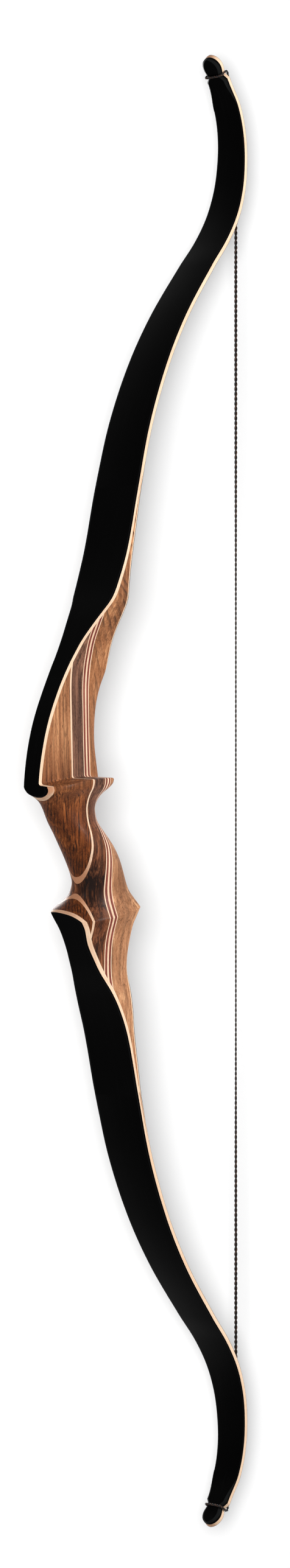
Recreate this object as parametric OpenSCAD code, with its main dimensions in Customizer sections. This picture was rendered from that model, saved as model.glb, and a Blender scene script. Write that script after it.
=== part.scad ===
// Laminated wooden recurve bow, strung at brace height.
// Origin: deepest point of the grip's throat, on the side that faces the archer.
// +X points to the archer, -Y to the side the arrow passes on, +Z up the upper limb.

/* [Limbs] */
// Widest width of a limb, where it leaves the riser
limb_w = 44.4; // [40:0.4:48]
// Height of a limb from its root station to its tip
limb_rise = 430.5; // [414:0.5:452]
// How far the recurve bends back towards the archer past the root station
limb_sweep = 173.5; // [165:0.5:182]
// Thickness of each sheet of black glass
glass_t = 1; // [0.8:0.1:1.4]
// Thickness of the pale core strip behind the back glass, along a limb
back_core_t = 2.6; // [2.2:0.1:3.2]
// Thickness of the same strip where it runs along the riser
riser_core_t = 3.4; // [2.8:0.1:4]
// Thickness of the pale core strip in front of the belly glass
belly_core_t = 1.2; // [0.8:0.1:1.8]
// Distance from the bow's middle to the line where a limb starts to flex
flex_s = 300; // [285:1:320]
// Room between the rounded root of a limb and the seat it turns in
knuckle_gap = 0.2; // [0.15:0.05:0.4]

/* [Tips] */
// Width across the shoulders below the string nocks
shoulder_w = 20.8; // [20:0.2:23]
// Width of the rounded tip above the nocks
bulb_w = 17.6; // [17:0.2:19]
// Width left between the two nocks
neck_w = 15; // [14:0.2:16]
// Radius of the groove that the string loop lies in
nock_r = 2.2; // [1.9:0.1:2.4]
// Distance from the very tip down to the middle of the nocks
nock_drop = 12.5; // [11.5:0.5:14]
// Distance from the middle of the nocks down to the corners of the shoulders
shoulder_drop = 4.5; // [3.5:0.5:6]
// Thickness of the black overlay on the tip
overlay_t = 3; // [2.4:0.2:3.6]
// Height over which the overlay thins out to nothing
overlay_h = 39.5; // [34:0.5:46]

/* [Riser] */
// Distance from the grip's throat up to the bow's middle
throat_drop = 14.5; // [10:0.5:18]
// Height of the arrow shelf above the throat
shelf_z = 26.5; // [25:0.5:28]
// Where the sight window's face lies, past the middle plane
window_y = 0.6; // [-1:0.2:2]
// How far the shelf reaches out to the side, from the middle plane
shelf_reach = 21.8; // [20:0.2:23]
// How far the riser reaches to the other side beside the window
window_back_y = 16.2; // [14:0.2:18]
// Radius of the hollow corner between the window and the shelf
shelf_fillet = 2; // [1.5:0.5:4]
// Radius of the shelf's outer edge
shelf_edge_r = 1.8; // [1.2:0.1:3]
// Width of the grip's bulge on the window side, from the middle plane
grip_left = 20.8; // [19:0.2:22]
// Width of the grip on the other side
grip_right = 14; // [12:0.2:16]
// Reach of the flared ridge under the grip, on the window side
flare_left = 26; // [24:0.2:27]
// Reach of the flared ridge on the other side
flare_right = 22; // [20:0.2:24]
// Half width of the lower riser where it is narrowest
waist_y = 16.6; // [15:0.2:18]

/* [Laminations] */
// Place of the thin accent strip at the throat's height
accent_x = -22.2; // [-24:0.2:-20]
// Thickness of the accent strip
accent_t = 1.9; // [1.4:0.1:2.4]
// Place of the five-strip stripe's middle at the throat's height
stripe_x = -2.9; // [-4:0.1:-1]
// Thickness of the stripe's two outer pale strips
stripe_edge_t = 1.2; // [0.8:0.1:1.6]
// Thickness of the stripe's two red strips
stripe_red_t = 1.9; // [1.5:0.1:2.4]
// Thickness of the stripe's middle pale strip
stripe_mid_t = 2.5; // [2:0.1:3]
// Lean of the strips from the vertical, in degrees
lam_lean = 1.9; // [0:0.1:3]

/* [String] */
// Diameter of the string over its spliced ends
splice_d = 2.6; // [2.2:0.1:2.8]
// Diameter of the string between the splices
string_d = 1.8; // [1.5:0.1:2.2]
// Length of the spliced end that lies free of the limb
splice_len = 115; // [90:5:150]
// Length over which the splice thins to the plain string
splice_taper = 45; // [30:5:60]
// Air between the string and what it lies on
string_gap = 0.3; // [0.2:0.05:0.5]

/* [Hidden] */

BLACK_GLASS = [0.05, 0.05, 0.05];
PALE_WOOD = [0.93, 0.83, 0.68];
RED_WOOD = [0.52, 0.22, 0.17];
BROWN_WOOD = [0.50, 0.31, 0.19];
DARK_WOOD = [0.38, 0.22, 0.13];
BLACK_CORD = [0.12, 0.09, 0.08];

// Places along the bow are given as s, the height above or below the bow's middle.
// The root station is where a limb's own width and thickness begin.
root_s = 200;
root_x = 19;
tip_s = root_s + limb_rise;
nock_s = tip_s - nock_drop;
limb_t = 2 * glass_t + back_core_t + belly_core_t;
half_w = limb_w / 2;
middle_z = throat_drop;
fade_s = 250;
taper_start_s = 150;
wood_end_s = 244;
knuckle_r = limb_t / 2;
round_h = nock_drop * 0.58;
// The shoulders' corners, and where their slopes meet the neck
shoulder_s = nock_s - shoulder_drop;
neck_s = nock_s - shoulder_drop * 0.27;
throat_split_z = -65;
ridge_z = -81;

// Side view of the bow's back, from below the middle outwards: [s, x]
riser_back = [[-30, -62.5], [0, -66.5], [30, -62.5], [60, -53], [100, -32.5], [140, -12], [170, 6],
    [root_s, root_x]];
// The limb's back past the root station, as shares of its rise and of its sweep
limb_back_shape = [[0.11674, 0.08], [0.24362, 0.177], [0.36747, 0.32], [0.47202, 0.486],
    [0.58064, 0.707], [0.63647, 0.83], [0.69027, 0.92], [0.74305, 0.974], [0.79178, 0.997],
    [0.84355, 1], [0.89024, 0.978], [0.93592, 0.927], [0.97551, 0.862], [1.0151, 0.772]];
back_line = concat(riser_back,
    [for (p = limb_back_shape) [root_s + limb_rise * p[0], root_x + limb_sweep * p[1]]]);

// Half width of a limb, as shares of its rise and of its widest half width
limb_plan_shape = [[-0.10151, 1], [0.10151, 1], [0.22332, 0.973], [0.34513, 0.925],
    [0.46492, 0.858], [0.58064, 0.795], [0.69636, 0.73], [0.81208, 0.64], [0.90547, 0.57],
    [0.96942, 0.535]];

function seg(p, s, i = 0) = i >= len(p) - 2 || s < p[i + 1][0] ? i : seg(p, s, i + 1);
function slope(p, i) = let(a = max(i - 1, 0), b = min(i + 1, len(p) - 1))
    (p[b] - p[a]) / (p[b][0] - p[a][0]);
// Smooth curve through rows whose first number is the place along the curve
function curve(p, s) = let(
        i = seg(p, s), h = p[i + 1][0] - p[i][0], t = (s - p[i][0]) / h,
        t2 = t * t, t3 = t2 * t)
    (2 * t3 - 3 * t2 + 1) * p[i] + (t3 - 2 * t2 + t) * h * slope(p, i)
    + (3 * t2 - 2 * t3) * p[i + 1] + (t3 - t2) * h * slope(p, i + 1);
function mix(a, b, t) = a + (b - a) * t;
function smooth(t) = let(u = min(max(t, 0), 1)) u * u * (3 - 2 * u);
function steps(a, b, n) = [for (i = [0:n]) mix(a, b, i / n)];
function turned(p) = [for (i = [len(p) - 1:-1:0]) p[i]];

belly_marks = steps(81, wood_end_s, 20);
end_marks = steps(wood_end_s + 8, flex_s, 7);

function back_x(s) = curve(back_line, s)[1];
function normal(s) = let(d = back_x(s + 0.5) - back_x(s - 0.5)) [1, -d] / sqrt(1 + d * d);
// Point [x, s] at a depth behind the outside of the back glass
function behind(s, depth) = [back_x(s), s] + depth * normal(s);
function core_t(s) = mix(riser_core_t, back_core_t, smooth((s - taper_start_s) / (fade_s - taper_start_s)));

// The blank's belly along the riser, from the inner end out: [s, x]
upper_belly_shape = [[80, 25.5], [92, 22.3], [105, 20.8], [120, 20.1], [140, 20.1], [160, 21],
    [180, 23.6], [200, 27.3]];
lower_belly_shape = [[80, 44], [92, 39.4], [104, 34.6], [116, 31], [130, 29.2], [145, 28.2],
    [158, 28.2], [170, 28.4], [180, 28.6], [200, 29.4]];
// How thick the riser's wood still is where it thins out between the limb's layers
upper_wedge = [[226, 0.5], [239, 0.16], [fade_s, 0.02], [fade_s + 25, 0]];
lower_wedge = [[226, 0.9], [239, 0.3], [fade_s, 0.02], [fade_s + 25, 0]];
function belly_line(up) = concat(up ? upper_belly_shape : lower_belly_shape,
    [for (w = up ? upper_wedge : lower_wedge)
        let(p = behind(w[0], 2 * glass_t + core_t(w[0]) + belly_core_t + w[1])) [p[1], p[0]]]);
UPPER_BELLY = belly_line(true);
LOWER_BELLY = belly_line(false);
function belly_x(up, s) = curve(up ? UPPER_BELLY : LOWER_BELLY, s)[1];
function inside_belly(up, s, depth) = let(
        d = belly_x(up, s + 0.5) - belly_x(up, s - 0.5), n = [1, -d] / sqrt(1 + d * d))
    [belly_x(up, s), s] - depth * n;
// The same depth inside the belly from an inner end on the riser out to the limb
function belly_run(up, depth) = [for (s = belly_marks) inside_belly(up, s, depth)];
function belly_root(up, depth) = concat(belly_run(up, depth),
    [for (s = end_marks) behind(s, limb_t - depth)]);
function back_run(up, core) =
    [for (s = steps(up ? -30 : 29, wood_end_s, 30)) behind(s, glass_t + (core ? core_t(s) : 0))];
function back_root(up, glass, core) = concat(
    [for (s = steps(up ? -30 : 29, wood_end_s, 30)) behind(s, glass + (core ? core_t(s) : 0))],
    [for (s = end_marks) behind(s, glass + (core ? core_t(s) : 0))]);

// The riser as stations from the top down. Each row holds: height, back x, belly x,
// x of the widest place, y of the middle, left y, right y, and how square the section
// is at its back left, back right and belly.
function up_row(s, over, mid_x, mid_y, left, right, nb) =
    [middle_z + s, back_x(s) - over - 1, belly_x(true, s) + over, mid_x, mid_y, left, right, 12, 12, nb];
function down_row(s, over, mid_x, left, right, nf, nb) =
    [middle_z - s, back_x(s) - 5, belly_x(false, s) + over, mid_x, 0, left, right, nf, nf, nb];
upper_stations = [
    up_row(310, 8, 55, 0, -half_w * 0.966, half_w * 0.966, 12),
    up_row(280, 8, 46, 0, -half_w * 0.984, half_w * 0.984, 12),
    up_row(250, 8, 37, 0, -half_w, half_w, 12),
    up_row(215, 8, 27, 0, -half_w, half_w, 12),
    up_row(190, 8, 20, 0, -half_w, half_w - 0.6, 12),
    up_row(172, 8, 13, 0, -half_w, half_w - 2, 12),
    up_row(160, 7, 8, 0, -half_w, half_w - 3.8, 10),
    up_row(154, 6, 5, 0.5, -21.4, 17.2, 10),
    up_row(147, 5, 2, 1.2, -18.3, 16, 9),
    up_row(135, 4, -3, 2.4, -12.4, 15, 7),
    up_row(123, 3, -8, 4, -6.9, 14.6, 8),
    up_row(111, 1.6, -12, 5.4, -3.4, 15, 8),
    [middle_z + 101, back_x(101) - 3, 21.2, -16, 6, -1.2, 15.8, 12, 12, 7],
    [middle_z + 88, back_x(88) - 3, 17.2, -20, 6, window_y - 0.3, window_back_y, 12, 12, 3.8],
    [middle_z + 75, back_x(75) - 3, 12.8, -24, 6, window_y, window_back_y, 12, 12, 3.2],
    [middle_z + 63, back_x(63) - 3, 10.4, -26, 6, window_y, window_back_y, 12, 12, 3.2],
    [middle_z + 51, back_x(51) - 3, 9.4, -27, 6, window_y, window_back_y, 12, 12, 3.2],
    [middle_z + 39, back_x(39) - 3, 9.8, -28, 6, window_y, window_back_y, 12, 12, 3.2],
    [middle_z + 27, back_x(27) - 3, 11.6, -28, 6, window_y, window_back_y, 12, 12, 3.4],
    [shelf_z, back_x(12) - 3, 14, -28, 6, window_y, window_back_y, 12, 12, 4.4]
];
grip_stations = [
    [shelf_z, back_x(12) - 3, 14, -28, 6, -shelf_reach, window_back_y, 2.5, 12, 4.4],
    [shelf_z - 4, back_x(8) - 3, 13.2, -28, 5, -shelf_reach + 0.2, window_back_y, 2.5, 6, 4.2],
    [18, -68.4, 9.8, -27, 3, -20.2, 15.8, 2.4, 4, 3.6],
    [14, -67.6, 5.8, -26, 1, -18, 15.6, 2.3, 3, 2.8],
    [10, -65.6, 3, -26, 0, -16.2, 15.4, 2.2, 2.5, 2.3],
    [6, -61.3, 1, -26, 0, -15, 15.2, 2.2, 2.3, 2.1],
    [0, -55, 0, -26, 0, -14, 15, 2.2, 2.3, 2],
    [-10, -49, 3, -24, -0.5, -15, 14.6, 2.2, 2.3, 1.9],
    [-20, -42.2, 11, -18, -1.5, -18, grip_right + 0.4, 2.1, 2.2, 1.9],
    [-30, -36.2, 19, -11, -2, -grip_left + 0.4, grip_right + 0.2, 2.1, 2.1, 2],
    [-40, -30, 25, -5, -2, -grip_left, grip_right, 2.1, 2, 2.2],
    [-50, -24, 29, -1, -2, -grip_left + 0.6, grip_right - 0.4, 2.1, 2, 2.5],
    [-58, -19.8, 31, 3, -1, -grip_left + 1.4, grip_right, 2.2, 2, 3],
    [-64, -18.5, 32.5, 6, 0, -grip_left + 1.4, grip_right + 1.8, 2.1, 2.1, 3.4],
    [-70, -21, 34, 9, 0, -grip_left + 0.2, 17.6, 2.1, 2.3, 3.8],
    [-76, -28, 35.8, 14, 0, -flare_left + 2, 20.4, 2.1, 2.8, 5],
    [ridge_z, -36.5, 37, 20, 0, -flare_left, flare_right, 2, 4, 6.4]
];
lower_stations = [
    [ridge_z, -36.5, 37, 20, 0, -flare_left, flare_right, 2, 4, 6.4],
    [-88, -36, 36.2, 16, 0, -24.2, 19.6, 2, 3.2, 6.6],
    [-96, back_x(111) - 5, 33.6, 12, 0, -21, 17.6, 2.1, 2.8, 7],
    [-108, back_x(123) - 4.6, 31.6, 10, 0, -waist_y - 2, waist_y, 2.3, 2.8, 7.4],
    down_row(137, 2, 9, -waist_y - 0.6, waist_y, 2.8, 6),
    down_row(151, 3, 11, -waist_y - 0.6, waist_y + 0.6, 3.6, 6),
    down_row(165, 5, 16, -half_w + 3.2, half_w - 3.2, 6, 8),
    down_row(179, 7, 20, -half_w + 1.4, half_w - 1.4, 10, 10),
    down_row(195, 8, 24, -half_w + 0.4, half_w - 0.4, 12, 12),
    down_row(215, 8, 29, -half_w, half_w, 12, 12),
    down_row(250, 8, 37, -half_w, half_w, 12, 12),
    down_row(280, 8, 46, -half_w * 0.984, half_w * 0.984, 12, 12),
    down_row(310, 8, 55, -half_w * 0.966, half_w * 0.966, 12, 12)
];

// The ridge under the grip leans and the shelf is crowned: both lift a ring's points
ridge_lean_x = 0.23;
ridge_lean_y = 0.3;
ridge_up = 32;
ridge_down = 44;
shelf_high_x = 4;
shelf_fall = 0.0015;
shelf_nose_fall = 0.025;
shelf_side_fall = 0.045;
function ridge_share(z) = smooth(1 - (z > ridge_z ? (z - ridge_z) / ridge_up : (ridge_z - z) / ridge_down));
function shelf_share(z) = smooth(1 - abs(z - shelf_z) / 24);
function lift(x, y, z) = ridge_share(z) * (ridge_lean_x * x + ridge_lean_y * y)
    - shelf_share(z) * ((x < shelf_high_x ? shelf_fall : shelf_nose_fall) * pow(x - shelf_high_x, 2)
        + shelf_side_fall * max(-y, 0) * (x < -30 ? 1 - 0.05 * (x + 30) : 1));

ring_n = 32;
function power(v, n) = sign(v) * pow(abs(v), 2 / n);
// One closed ring of the riser from a station's row
function ring(r) = [for (k = [0:ring_n - 1]) let(
        a = 360 * (k + 0.5) / ring_n, c = cos(a), s = sin(a),
        n = c > 0 ? r[9] : s < 0 ? r[7] : r[8],
        x = r[3] + (c > 0 ? r[2] - r[3] : r[3] - r[1]) * power(c, n),
        y = r[4] + (s > 0 ? r[6] - r[4] : r[4] - r[5]) * power(s, n))
    [x, y, r[0] + lift(x, y, r[0])]];
function row(stations, z) = let(
        falling = [for (q = stations) concat([-q[0]], q)], v = curve(falling, -z))
    [for (k = [1:len(v) - 1]) v[k]];
// The same row at another height and with another left side
function moved(r, z, left) = [for (k = [0:len(r) - 1]) k == 0 ? z : k == 5 ? left : r[k]];

window_low = row(upper_stations, shelf_z + shelf_fillet);
shelf_row = row(grip_stations, shelf_z);
riser_rows = concat(
    [for (z = steps(middle_z + 306, middle_z + 178, 9)) row(upper_stations, z)],
    [for (z = steps(middle_z + 172, middle_z + 105, 13)) row(upper_stations, z)],
    [for (z = steps(middle_z + 97, shelf_z + shelf_fillet + 4, 8)) row(upper_stations, z)],
    [for (a = [0, 30, 60, 88]) moved(window_low, shelf_z + shelf_fillet * (1 - sin(a)),
        window_y - shelf_fillet * (1 - cos(a)))],
    [for (a = [2, 30, 60, 90]) moved(shelf_row, shelf_z - shelf_edge_r * (1 - cos(a)),
        -shelf_reach + shelf_edge_r * (1 - sin(a)))],
    [for (z = steps(shelf_z - 4.5, 0, 6)) row(grip_stations, z)],
    [for (z = steps(-5, -50, 9)) row(grip_stations, z)],
    [for (z = steps(-54, ridge_z, 9)) row(grip_stations, z)],
    [for (z = steps(ridge_z - 3, -120, 9)) row(lower_stations, z)],
    [for (z = steps(-127, middle_z - 178, 7)) row(lower_stations, z)],
    [for (z = steps(middle_z - 192, middle_z - 306, 8)) row(lower_stations, z)]
);

// Closed skin over rings that run from the top down
module skin(rings) {
    n = len(rings[0]);
    last = (len(rings) - 1) * n;
    polyhedron(
        points = [for (r = rings) each r],
        faces = concat(
            [[for (k = [n - 1:-1:0]) k]],
            [for (j = [0:len(rings) - 2], k = [0:n - 1])
                let(a = j * n + k, b = j * n + (k + 1) % n) [a, b, a + n]],
            [for (j = [0:len(rings) - 2], k = [0:n - 1])
                let(a = j * n + k, b = j * n + (k + 1) % n) [b, b + n, a + n]],
            [[for (k = [0:n - 1]) last + k]]),
        convexity = 6);
}

// The carved outline of the riser between two heights
module riser_form(low, high) {
    skin([for (r = riser_rows) if (r[0] <= high && r[0] >= low) ring(r)]);
}

// Puts what is drawn over s on the upper or the lower half of the bow
module side(up) {
    translate([0, 0, middle_z])
        mirror([0, 0, up ? 0 : 1])
            children();
}

// Turns a side view drawn as [x, s] into a solid across the bow
module across(points, width = 60) {
    translate([0, width / 2, 0])
        rotate([90, 0, 0])
            linear_extrude(width)
                polygon(points);
}

// The seat that a limb's rounded root turns in, and that root's own round
module knuckle(r) {
    c = behind(flex_s, knuckle_r);
    translate([c[0], 30, c[1]])
        rotate([90, 0, 0])
            cylinder(h = 60, r = r, $fn = 48);
}

// One lamination from the riser out to the root's end, cut from the carved outline
module root_layer(up, outer, inner) {
    difference() {
        intersection() {
            riser_form(up ? -30 : -310, up ? 330 : -45);
            side(up) across(concat(outer, turned(inner)));
        }
        side(up) knuckle(knuckle_r + knuckle_gap);
    }
}

module root_back_glass(up) {
    root_layer(up, back_root(up, 0, false), back_root(up, glass_t, false));
}

module root_back_core(up) {
    root_layer(up, back_root(up, glass_t, false), back_root(up, glass_t, true));
}

module root_belly_core(up) {
    root_layer(up, belly_root(up, glass_t + belly_core_t), belly_root(up, glass_t));
}

module root_belly_glass(up) {
    root_layer(up, belly_root(up, glass_t), belly_root(up, 0));
}

// The wood between the laminations, in the side view, for one half of the bow
module wood_side(up) {
    belly = turned(belly_run(up, glass_t + belly_core_t));
    side(up) across(concat(back_run(up, true), belly, [[60, 80], [60, up ? -30 : 29]]));
}

// A flat layer of the glued-up block, which leans with the laminations
module slab(from_x, to_x) {
    rotate([0, -lam_lean, 0])
        translate([from_x, -40, -280])
            cube([to_x - from_x, 80, 560]);
}

module riser_wood(low, high) {
    intersection() {
        riser_form(low, high);
        union() {
            if (high > middle_z) wood_side(true);
            if (low < middle_z) wood_side(false);
        }
    }
}

stripe_t = 2 * stripe_edge_t + 2 * stripe_red_t + stripe_mid_t;
stripe_0 = stripe_x - stripe_t / 2;
stripe_1 = stripe_0 + stripe_edge_t;
stripe_2 = stripe_1 + stripe_red_t;
stripe_3 = stripe_2 + stripe_mid_t;
stripe_4 = stripe_3 + stripe_red_t;
stripe_5 = stripe_4 + stripe_edge_t;
accent_0 = accent_x - accent_t / 2;
accent_1 = accent_x + accent_t / 2;

module riser_layer(from_x, to_x, low, high) {
    intersection() {
        riser_wood(low, high);
        slab(from_x, to_x);
    }
}

// Half width of a limb at s; the outline ends in shoulders, nocks and a round tip
function limb_half(s) = s < shoulder_s
    ? mix(half_w * curve(limb_plan_shape, (s - root_s) / limb_rise)[1], shoulder_w / 2,
        smooth((s - nock_s + 26) / 20))
    : s < neck_s ? mix(shoulder_w, neck_w, (s - shoulder_s) / (neck_s - shoulder_s)) / 2
    : s < tip_s - round_h
    ? mix(neck_w, bulb_w, smooth((s - neck_s) / (tip_s - round_h - neck_s))) / 2
    : bulb_w / 2 * sqrt(max(1 - pow((s - tip_s + round_h) / round_h, 2), 0.02));

overlay_start = tip_s - overlay_h;
tip_marks = concat(steps(overlay_start, nock_s - shoulder_drop * 1.9, 6),
    [nock_s - shoulder_drop * 1.4, shoulder_s, (shoulder_s + neck_s) / 2, neck_s, nock_s],
    steps(nock_s + (nock_drop - round_h) * 0.25, tip_s - round_h, 3),
    [for (a = [16, 32, 46, 58, 68, 76, 83]) tip_s - round_h + round_h * sin(a)]);
limb_marks = concat(steps(flex_s - 5, overlay_start - 7, 30), tip_marks);

// A layer of a limb between two depths, as a skin over four-cornered rings
module limb_layer(outer, inner) {
    skin([for (s = turned(limb_marks)) let(a = behind(s, outer), b = behind(s, inner), w = limb_half(s))
        [[a[0], -w, a[1]], [b[0], -w, b[1]], [b[0], w, b[1]], [a[0], w, a[1]]]]);
}

// The grooves on both sides of the tip that hold the string's loop
module nocks() {
    c = behind(nock_s, limb_t / 2);
    n = normal(nock_s);
    for (k = [-1, 1])
        translate([c[0], k * (neck_w / 2 + nock_r), c[1]])
            rotate([0, atan2(n[0], n[1]), 0])
                cylinder(h = 30, r = nock_r, center = true, $fn = 40);
}

// What lies past the line where the limb flexes, with the limb's rounded root
module past_flex() {
    c = behind(flex_s, knuckle_r);
    n = normal(flex_s);
    union() {
        knuckle(knuckle_r);
        translate([c[0], 0, c[1]])
            rotate([0, atan2(-n[1], n[0]), 0])
                translate([-80, -30, 0])
                    cube([300, 60, 400]);
    }
}

module limb_part(up, outer, inner) {
    side(up) difference() {
        intersection() {
            limb_layer(outer, inner);
            past_flex();
        }
        nocks();
    }
}

// Black overlay with bevelled edges on the back of a tip
module tip_overlay(up) {
    side(up) difference() {
        skin([for (s = turned(tip_marks))
            let(t = overlay_t * smooth((s - overlay_start) / (overlay_h - nock_drop) + 0.06),
                a = behind(s, -t), b = behind(s, -t * 0.35), c = behind(s, 0),
                w = limb_half(s), v = max(w - t * 0.8, 0.5))
            [[a[0], -v, a[1]], [b[0], -w, b[1]], [c[0], -w, c[1]],
                [c[0], w, c[1]], [b[0], w, b[1]], [a[0], v, a[1]]]]);
        nocks();
    }
}

depth_1 = glass_t;
depth_2 = depth_1 + back_core_t;
depth_3 = depth_2 + belly_core_t;

// The string runs straight between the bellies of the two limbs, off each by a gap
splice_r = splice_d / 2;
lie_depth = limb_t + string_gap + splice_r;
touch_marks = [for (i = [0:40]) root_s + limb_rise * (0.79178 + 0.00152265 * i)];
touch_xs = [for (s = touch_marks) behind(s, lie_depth)[0]];
string_x = max(touch_xs);
touch_s = touch_marks[search(string_x, touch_xs)[0]];
touch = behind(touch_s, lie_depth);
string_break = 0.15;
fork_s = nock_s - 20;
loop_d = 2;
loop_y = neck_w / 2 + string_gap + loop_d / 2;
loop_back = -overlay_t - string_gap - loop_d / 2;

// Tube of eight sides along points [x, y, z], of a radius given for each point
function unit(v) = v / norm(v);
module tube(points, radii) {
    n = len(points);
    skin([for (i = [0:n - 1]) let(
            t = unit(points[min(i + 1, n - 1)] - points[max(i - 1, 0)]),
            u = unit(cross(t, abs(t[1]) > 0.9 ? [0, 0, 1] : [0, 1, 0])), v = cross(u, t))
        [for (k = [0:7]) points[i] + radii[i] * (cos(45 * k) * u + sin(45 * k) * v)]]);
}
function on_limb(row) = let(p = behind(row[0], row[1])) [p[0], row[2], p[1]];

// Half of the plain string, from the bow's middle to where it meets the limb's belly
module string_half(up) {
    taper_top = touch[1] - splice_len;
    side(up) union() {
        translate([touch[0], 0, string_break / 2])
            cylinder(h = taper_top - splice_taper - string_break / 2, d = string_d, $fn = 24);
        translate([touch[0], 0, taper_top - splice_taper])
            cylinder(h = splice_taper, d1 = string_d, d2 = splice_d, $fn = 24);
        translate([touch[0], 0, taper_top])
            cylinder(h = splice_len, d = splice_d, $fn = 24);
        translate([touch[0], 0, touch[1]])
            sphere(r = splice_r, $fn = 24);
    }
}

// The end of the string: it lies along the belly and forks to both nocks
fork_depth = limb_t + string_gap + loop_d / 2;
fork_rows = [[fork_s - 4, lie_depth, 0], [fork_s + 2, lie_depth - 0.1, 1.2],
    [fork_s + 8, fork_depth, 4], [fork_s + 14, fork_depth, 6.9], [nock_s - 2.5, fork_depth, 8.4],
    [nock_s - 0.9, fork_depth - 0.1, loop_y - 0.05], [nock_s - 0.1, fork_depth - 1, loop_y],
    [nock_s, limb_t - 0.9, loop_y], [nock_s, limb_t / 2 + loop_d / 2 - 0.1, loop_y]];
module string_end(up) {
    run = steps(touch_s + splice_r + string_break, fork_s, 16);
    c = behind(nock_s, limb_t / 2);
    side(up) union() {
        tube([for (s = turned(run)) on_limb([s, lie_depth, 0])], [for (s = run) splice_r]);
        for (k = [-1, 1]) {
            tube([for (r = turned(fork_rows)) on_limb([r[0], r[1], k * r[2]])],
                [for (r = fork_rows) loop_d / 2]);
            translate([c[0], k * loop_y, c[1]])
                sphere(r = loop_d / 2 + 0.02, $fn = 16);
        }
    }
}

// The loop from one nock round the back of the tip to the other
loop_rows = [[nock_s, limb_t / 2 - loop_d / 2 - string_break, 1], [nock_s, 0.6, 1],
    [nock_s, -1.6, 0.98], [nock_s, loop_back + 0.8, 0.9], [nock_s, loop_back, 0.68],
    [nock_s, loop_back, 0.4]];
module string_loop(up) {
    rows = concat(loop_rows, [for (r = turned(loop_rows)) [r[0], r[1], -r[2]]]);
    side(up) tube([for (r = rows) on_limb([r[0], r[1], r[2] * loop_y])], [for (r = rows) loop_d / 2]);
}

module riser_front_block_upper() {
    color(BROWN_WOOD) riser_layer(-120, accent_0, throat_split_z, 200);
}

module riser_front_block_lower() {
    color(BROWN_WOOD) riser_layer(-120, accent_0, -200, throat_split_z);
}

module accent_strip_upper() {
    color(PALE_WOOD) riser_layer(accent_0, accent_1, throat_split_z, 200);
}

module accent_strip_lower() {
    color(PALE_WOOD) riser_layer(accent_0, accent_1, -200, throat_split_z);
}

module riser_middle_block() {
    color(DARK_WOOD) riser_layer(accent_1, stripe_0, -220, 220);
}

module stripe_front_pale() {
    color(PALE_WOOD) riser_layer(stripe_0, stripe_1, -220, 220);
}

module stripe_front_red() {
    color(RED_WOOD) riser_layer(stripe_1, stripe_2, -220, 220);
}

module stripe_centre_pale() {
    color(PALE_WOOD) riser_layer(stripe_2, stripe_3, -220, 220);
}

module stripe_rear_red() {
    color(RED_WOOD) riser_layer(stripe_3, stripe_4, -220, 220);
}

module stripe_rear_pale_upper() {
    color(PALE_WOOD) riser_layer(stripe_4, stripe_5, 0, 220);
}

module stripe_rear_pale_lower() {
    color(PALE_WOOD) riser_layer(stripe_4, stripe_5, -220, 0);
}

module riser_rear_block_upper() {
    color(BROWN_WOOD) riser_layer(stripe_5, 120, 0, 310);
}

module riser_rear_block_lower() {
    color(BROWN_WOOD) riser_layer(stripe_5, 120, -310, 0);
}

module upper_root_back_glass() { color(BLACK_GLASS) root_back_glass(true); }
module upper_root_back_core() { color(PALE_WOOD) root_back_core(true); }
module upper_root_belly_core() { color(PALE_WOOD) root_belly_core(true); }
module upper_root_belly_glass() { color(BLACK_GLASS) root_belly_glass(true); }
module lower_root_back_glass() { color(BLACK_GLASS) root_back_glass(false); }
module lower_root_back_core() { color(PALE_WOOD) root_back_core(false); }
module lower_root_belly_core() { color(PALE_WOOD) root_belly_core(false); }
module lower_root_belly_glass() { color(BLACK_GLASS) root_belly_glass(false); }
module upper_limb_back_glass() { color(BLACK_GLASS) limb_part(true, 0, depth_1); }
module upper_limb_back_core() { color(PALE_WOOD) limb_part(true, depth_1, depth_2); }
module upper_limb_belly_core() { color(PALE_WOOD) limb_part(true, depth_2, depth_3); }
module upper_limb_belly_glass() { color(BLACK_GLASS) limb_part(true, depth_3, limb_t); }
module upper_tip_overlay() { color(BLACK_GLASS) tip_overlay(true); }
module lower_limb_back_glass() { color(BLACK_GLASS) limb_part(false, 0, depth_1); }
module lower_limb_back_core() { color(PALE_WOOD) limb_part(false, depth_1, depth_2); }
module lower_limb_belly_core() { color(PALE_WOOD) limb_part(false, depth_2, depth_3); }
module lower_limb_belly_glass() { color(BLACK_GLASS) limb_part(false, depth_3, limb_t); }
module lower_tip_overlay() { color(BLACK_GLASS) tip_overlay(false); }
module upper_string_loop() { color(BLACK_CORD) string_loop(true); }
module upper_string_end() { color(BLACK_CORD) string_end(true); }
module upper_string() { color(BLACK_CORD) string_half(true); }
module lower_string_loop() { color(BLACK_CORD) string_loop(false); }
module lower_string_end() { color(BLACK_CORD) string_end(false); }
module lower_string() { color(BLACK_CORD) string_half(false); }

riser_front_block_upper();
riser_front_block_lower();
accent_strip_upper();
accent_strip_lower();
riser_middle_block();
stripe_front_pale();
stripe_front_red();
stripe_centre_pale();
stripe_rear_red();
stripe_rear_pale_upper();
stripe_rear_pale_lower();
riser_rear_block_upper();
riser_rear_block_lower();
upper_root_back_glass();
upper_root_back_core();
upper_root_belly_core();
upper_root_belly_glass();
lower_root_back_glass();
lower_root_back_core();
lower_root_belly_core();
lower_root_belly_glass();
upper_limb_back_glass();
upper_limb_back_core();
upper_limb_belly_core();
upper_limb_belly_glass();
upper_tip_overlay();
lower_limb_back_glass();
lower_limb_back_core();
lower_limb_belly_core();
lower_limb_belly_glass();
lower_tip_overlay();
upper_string_loop();
upper_string_end();
upper_string();
lower_string_loop();
lower_string_end();
lower_string();
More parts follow.
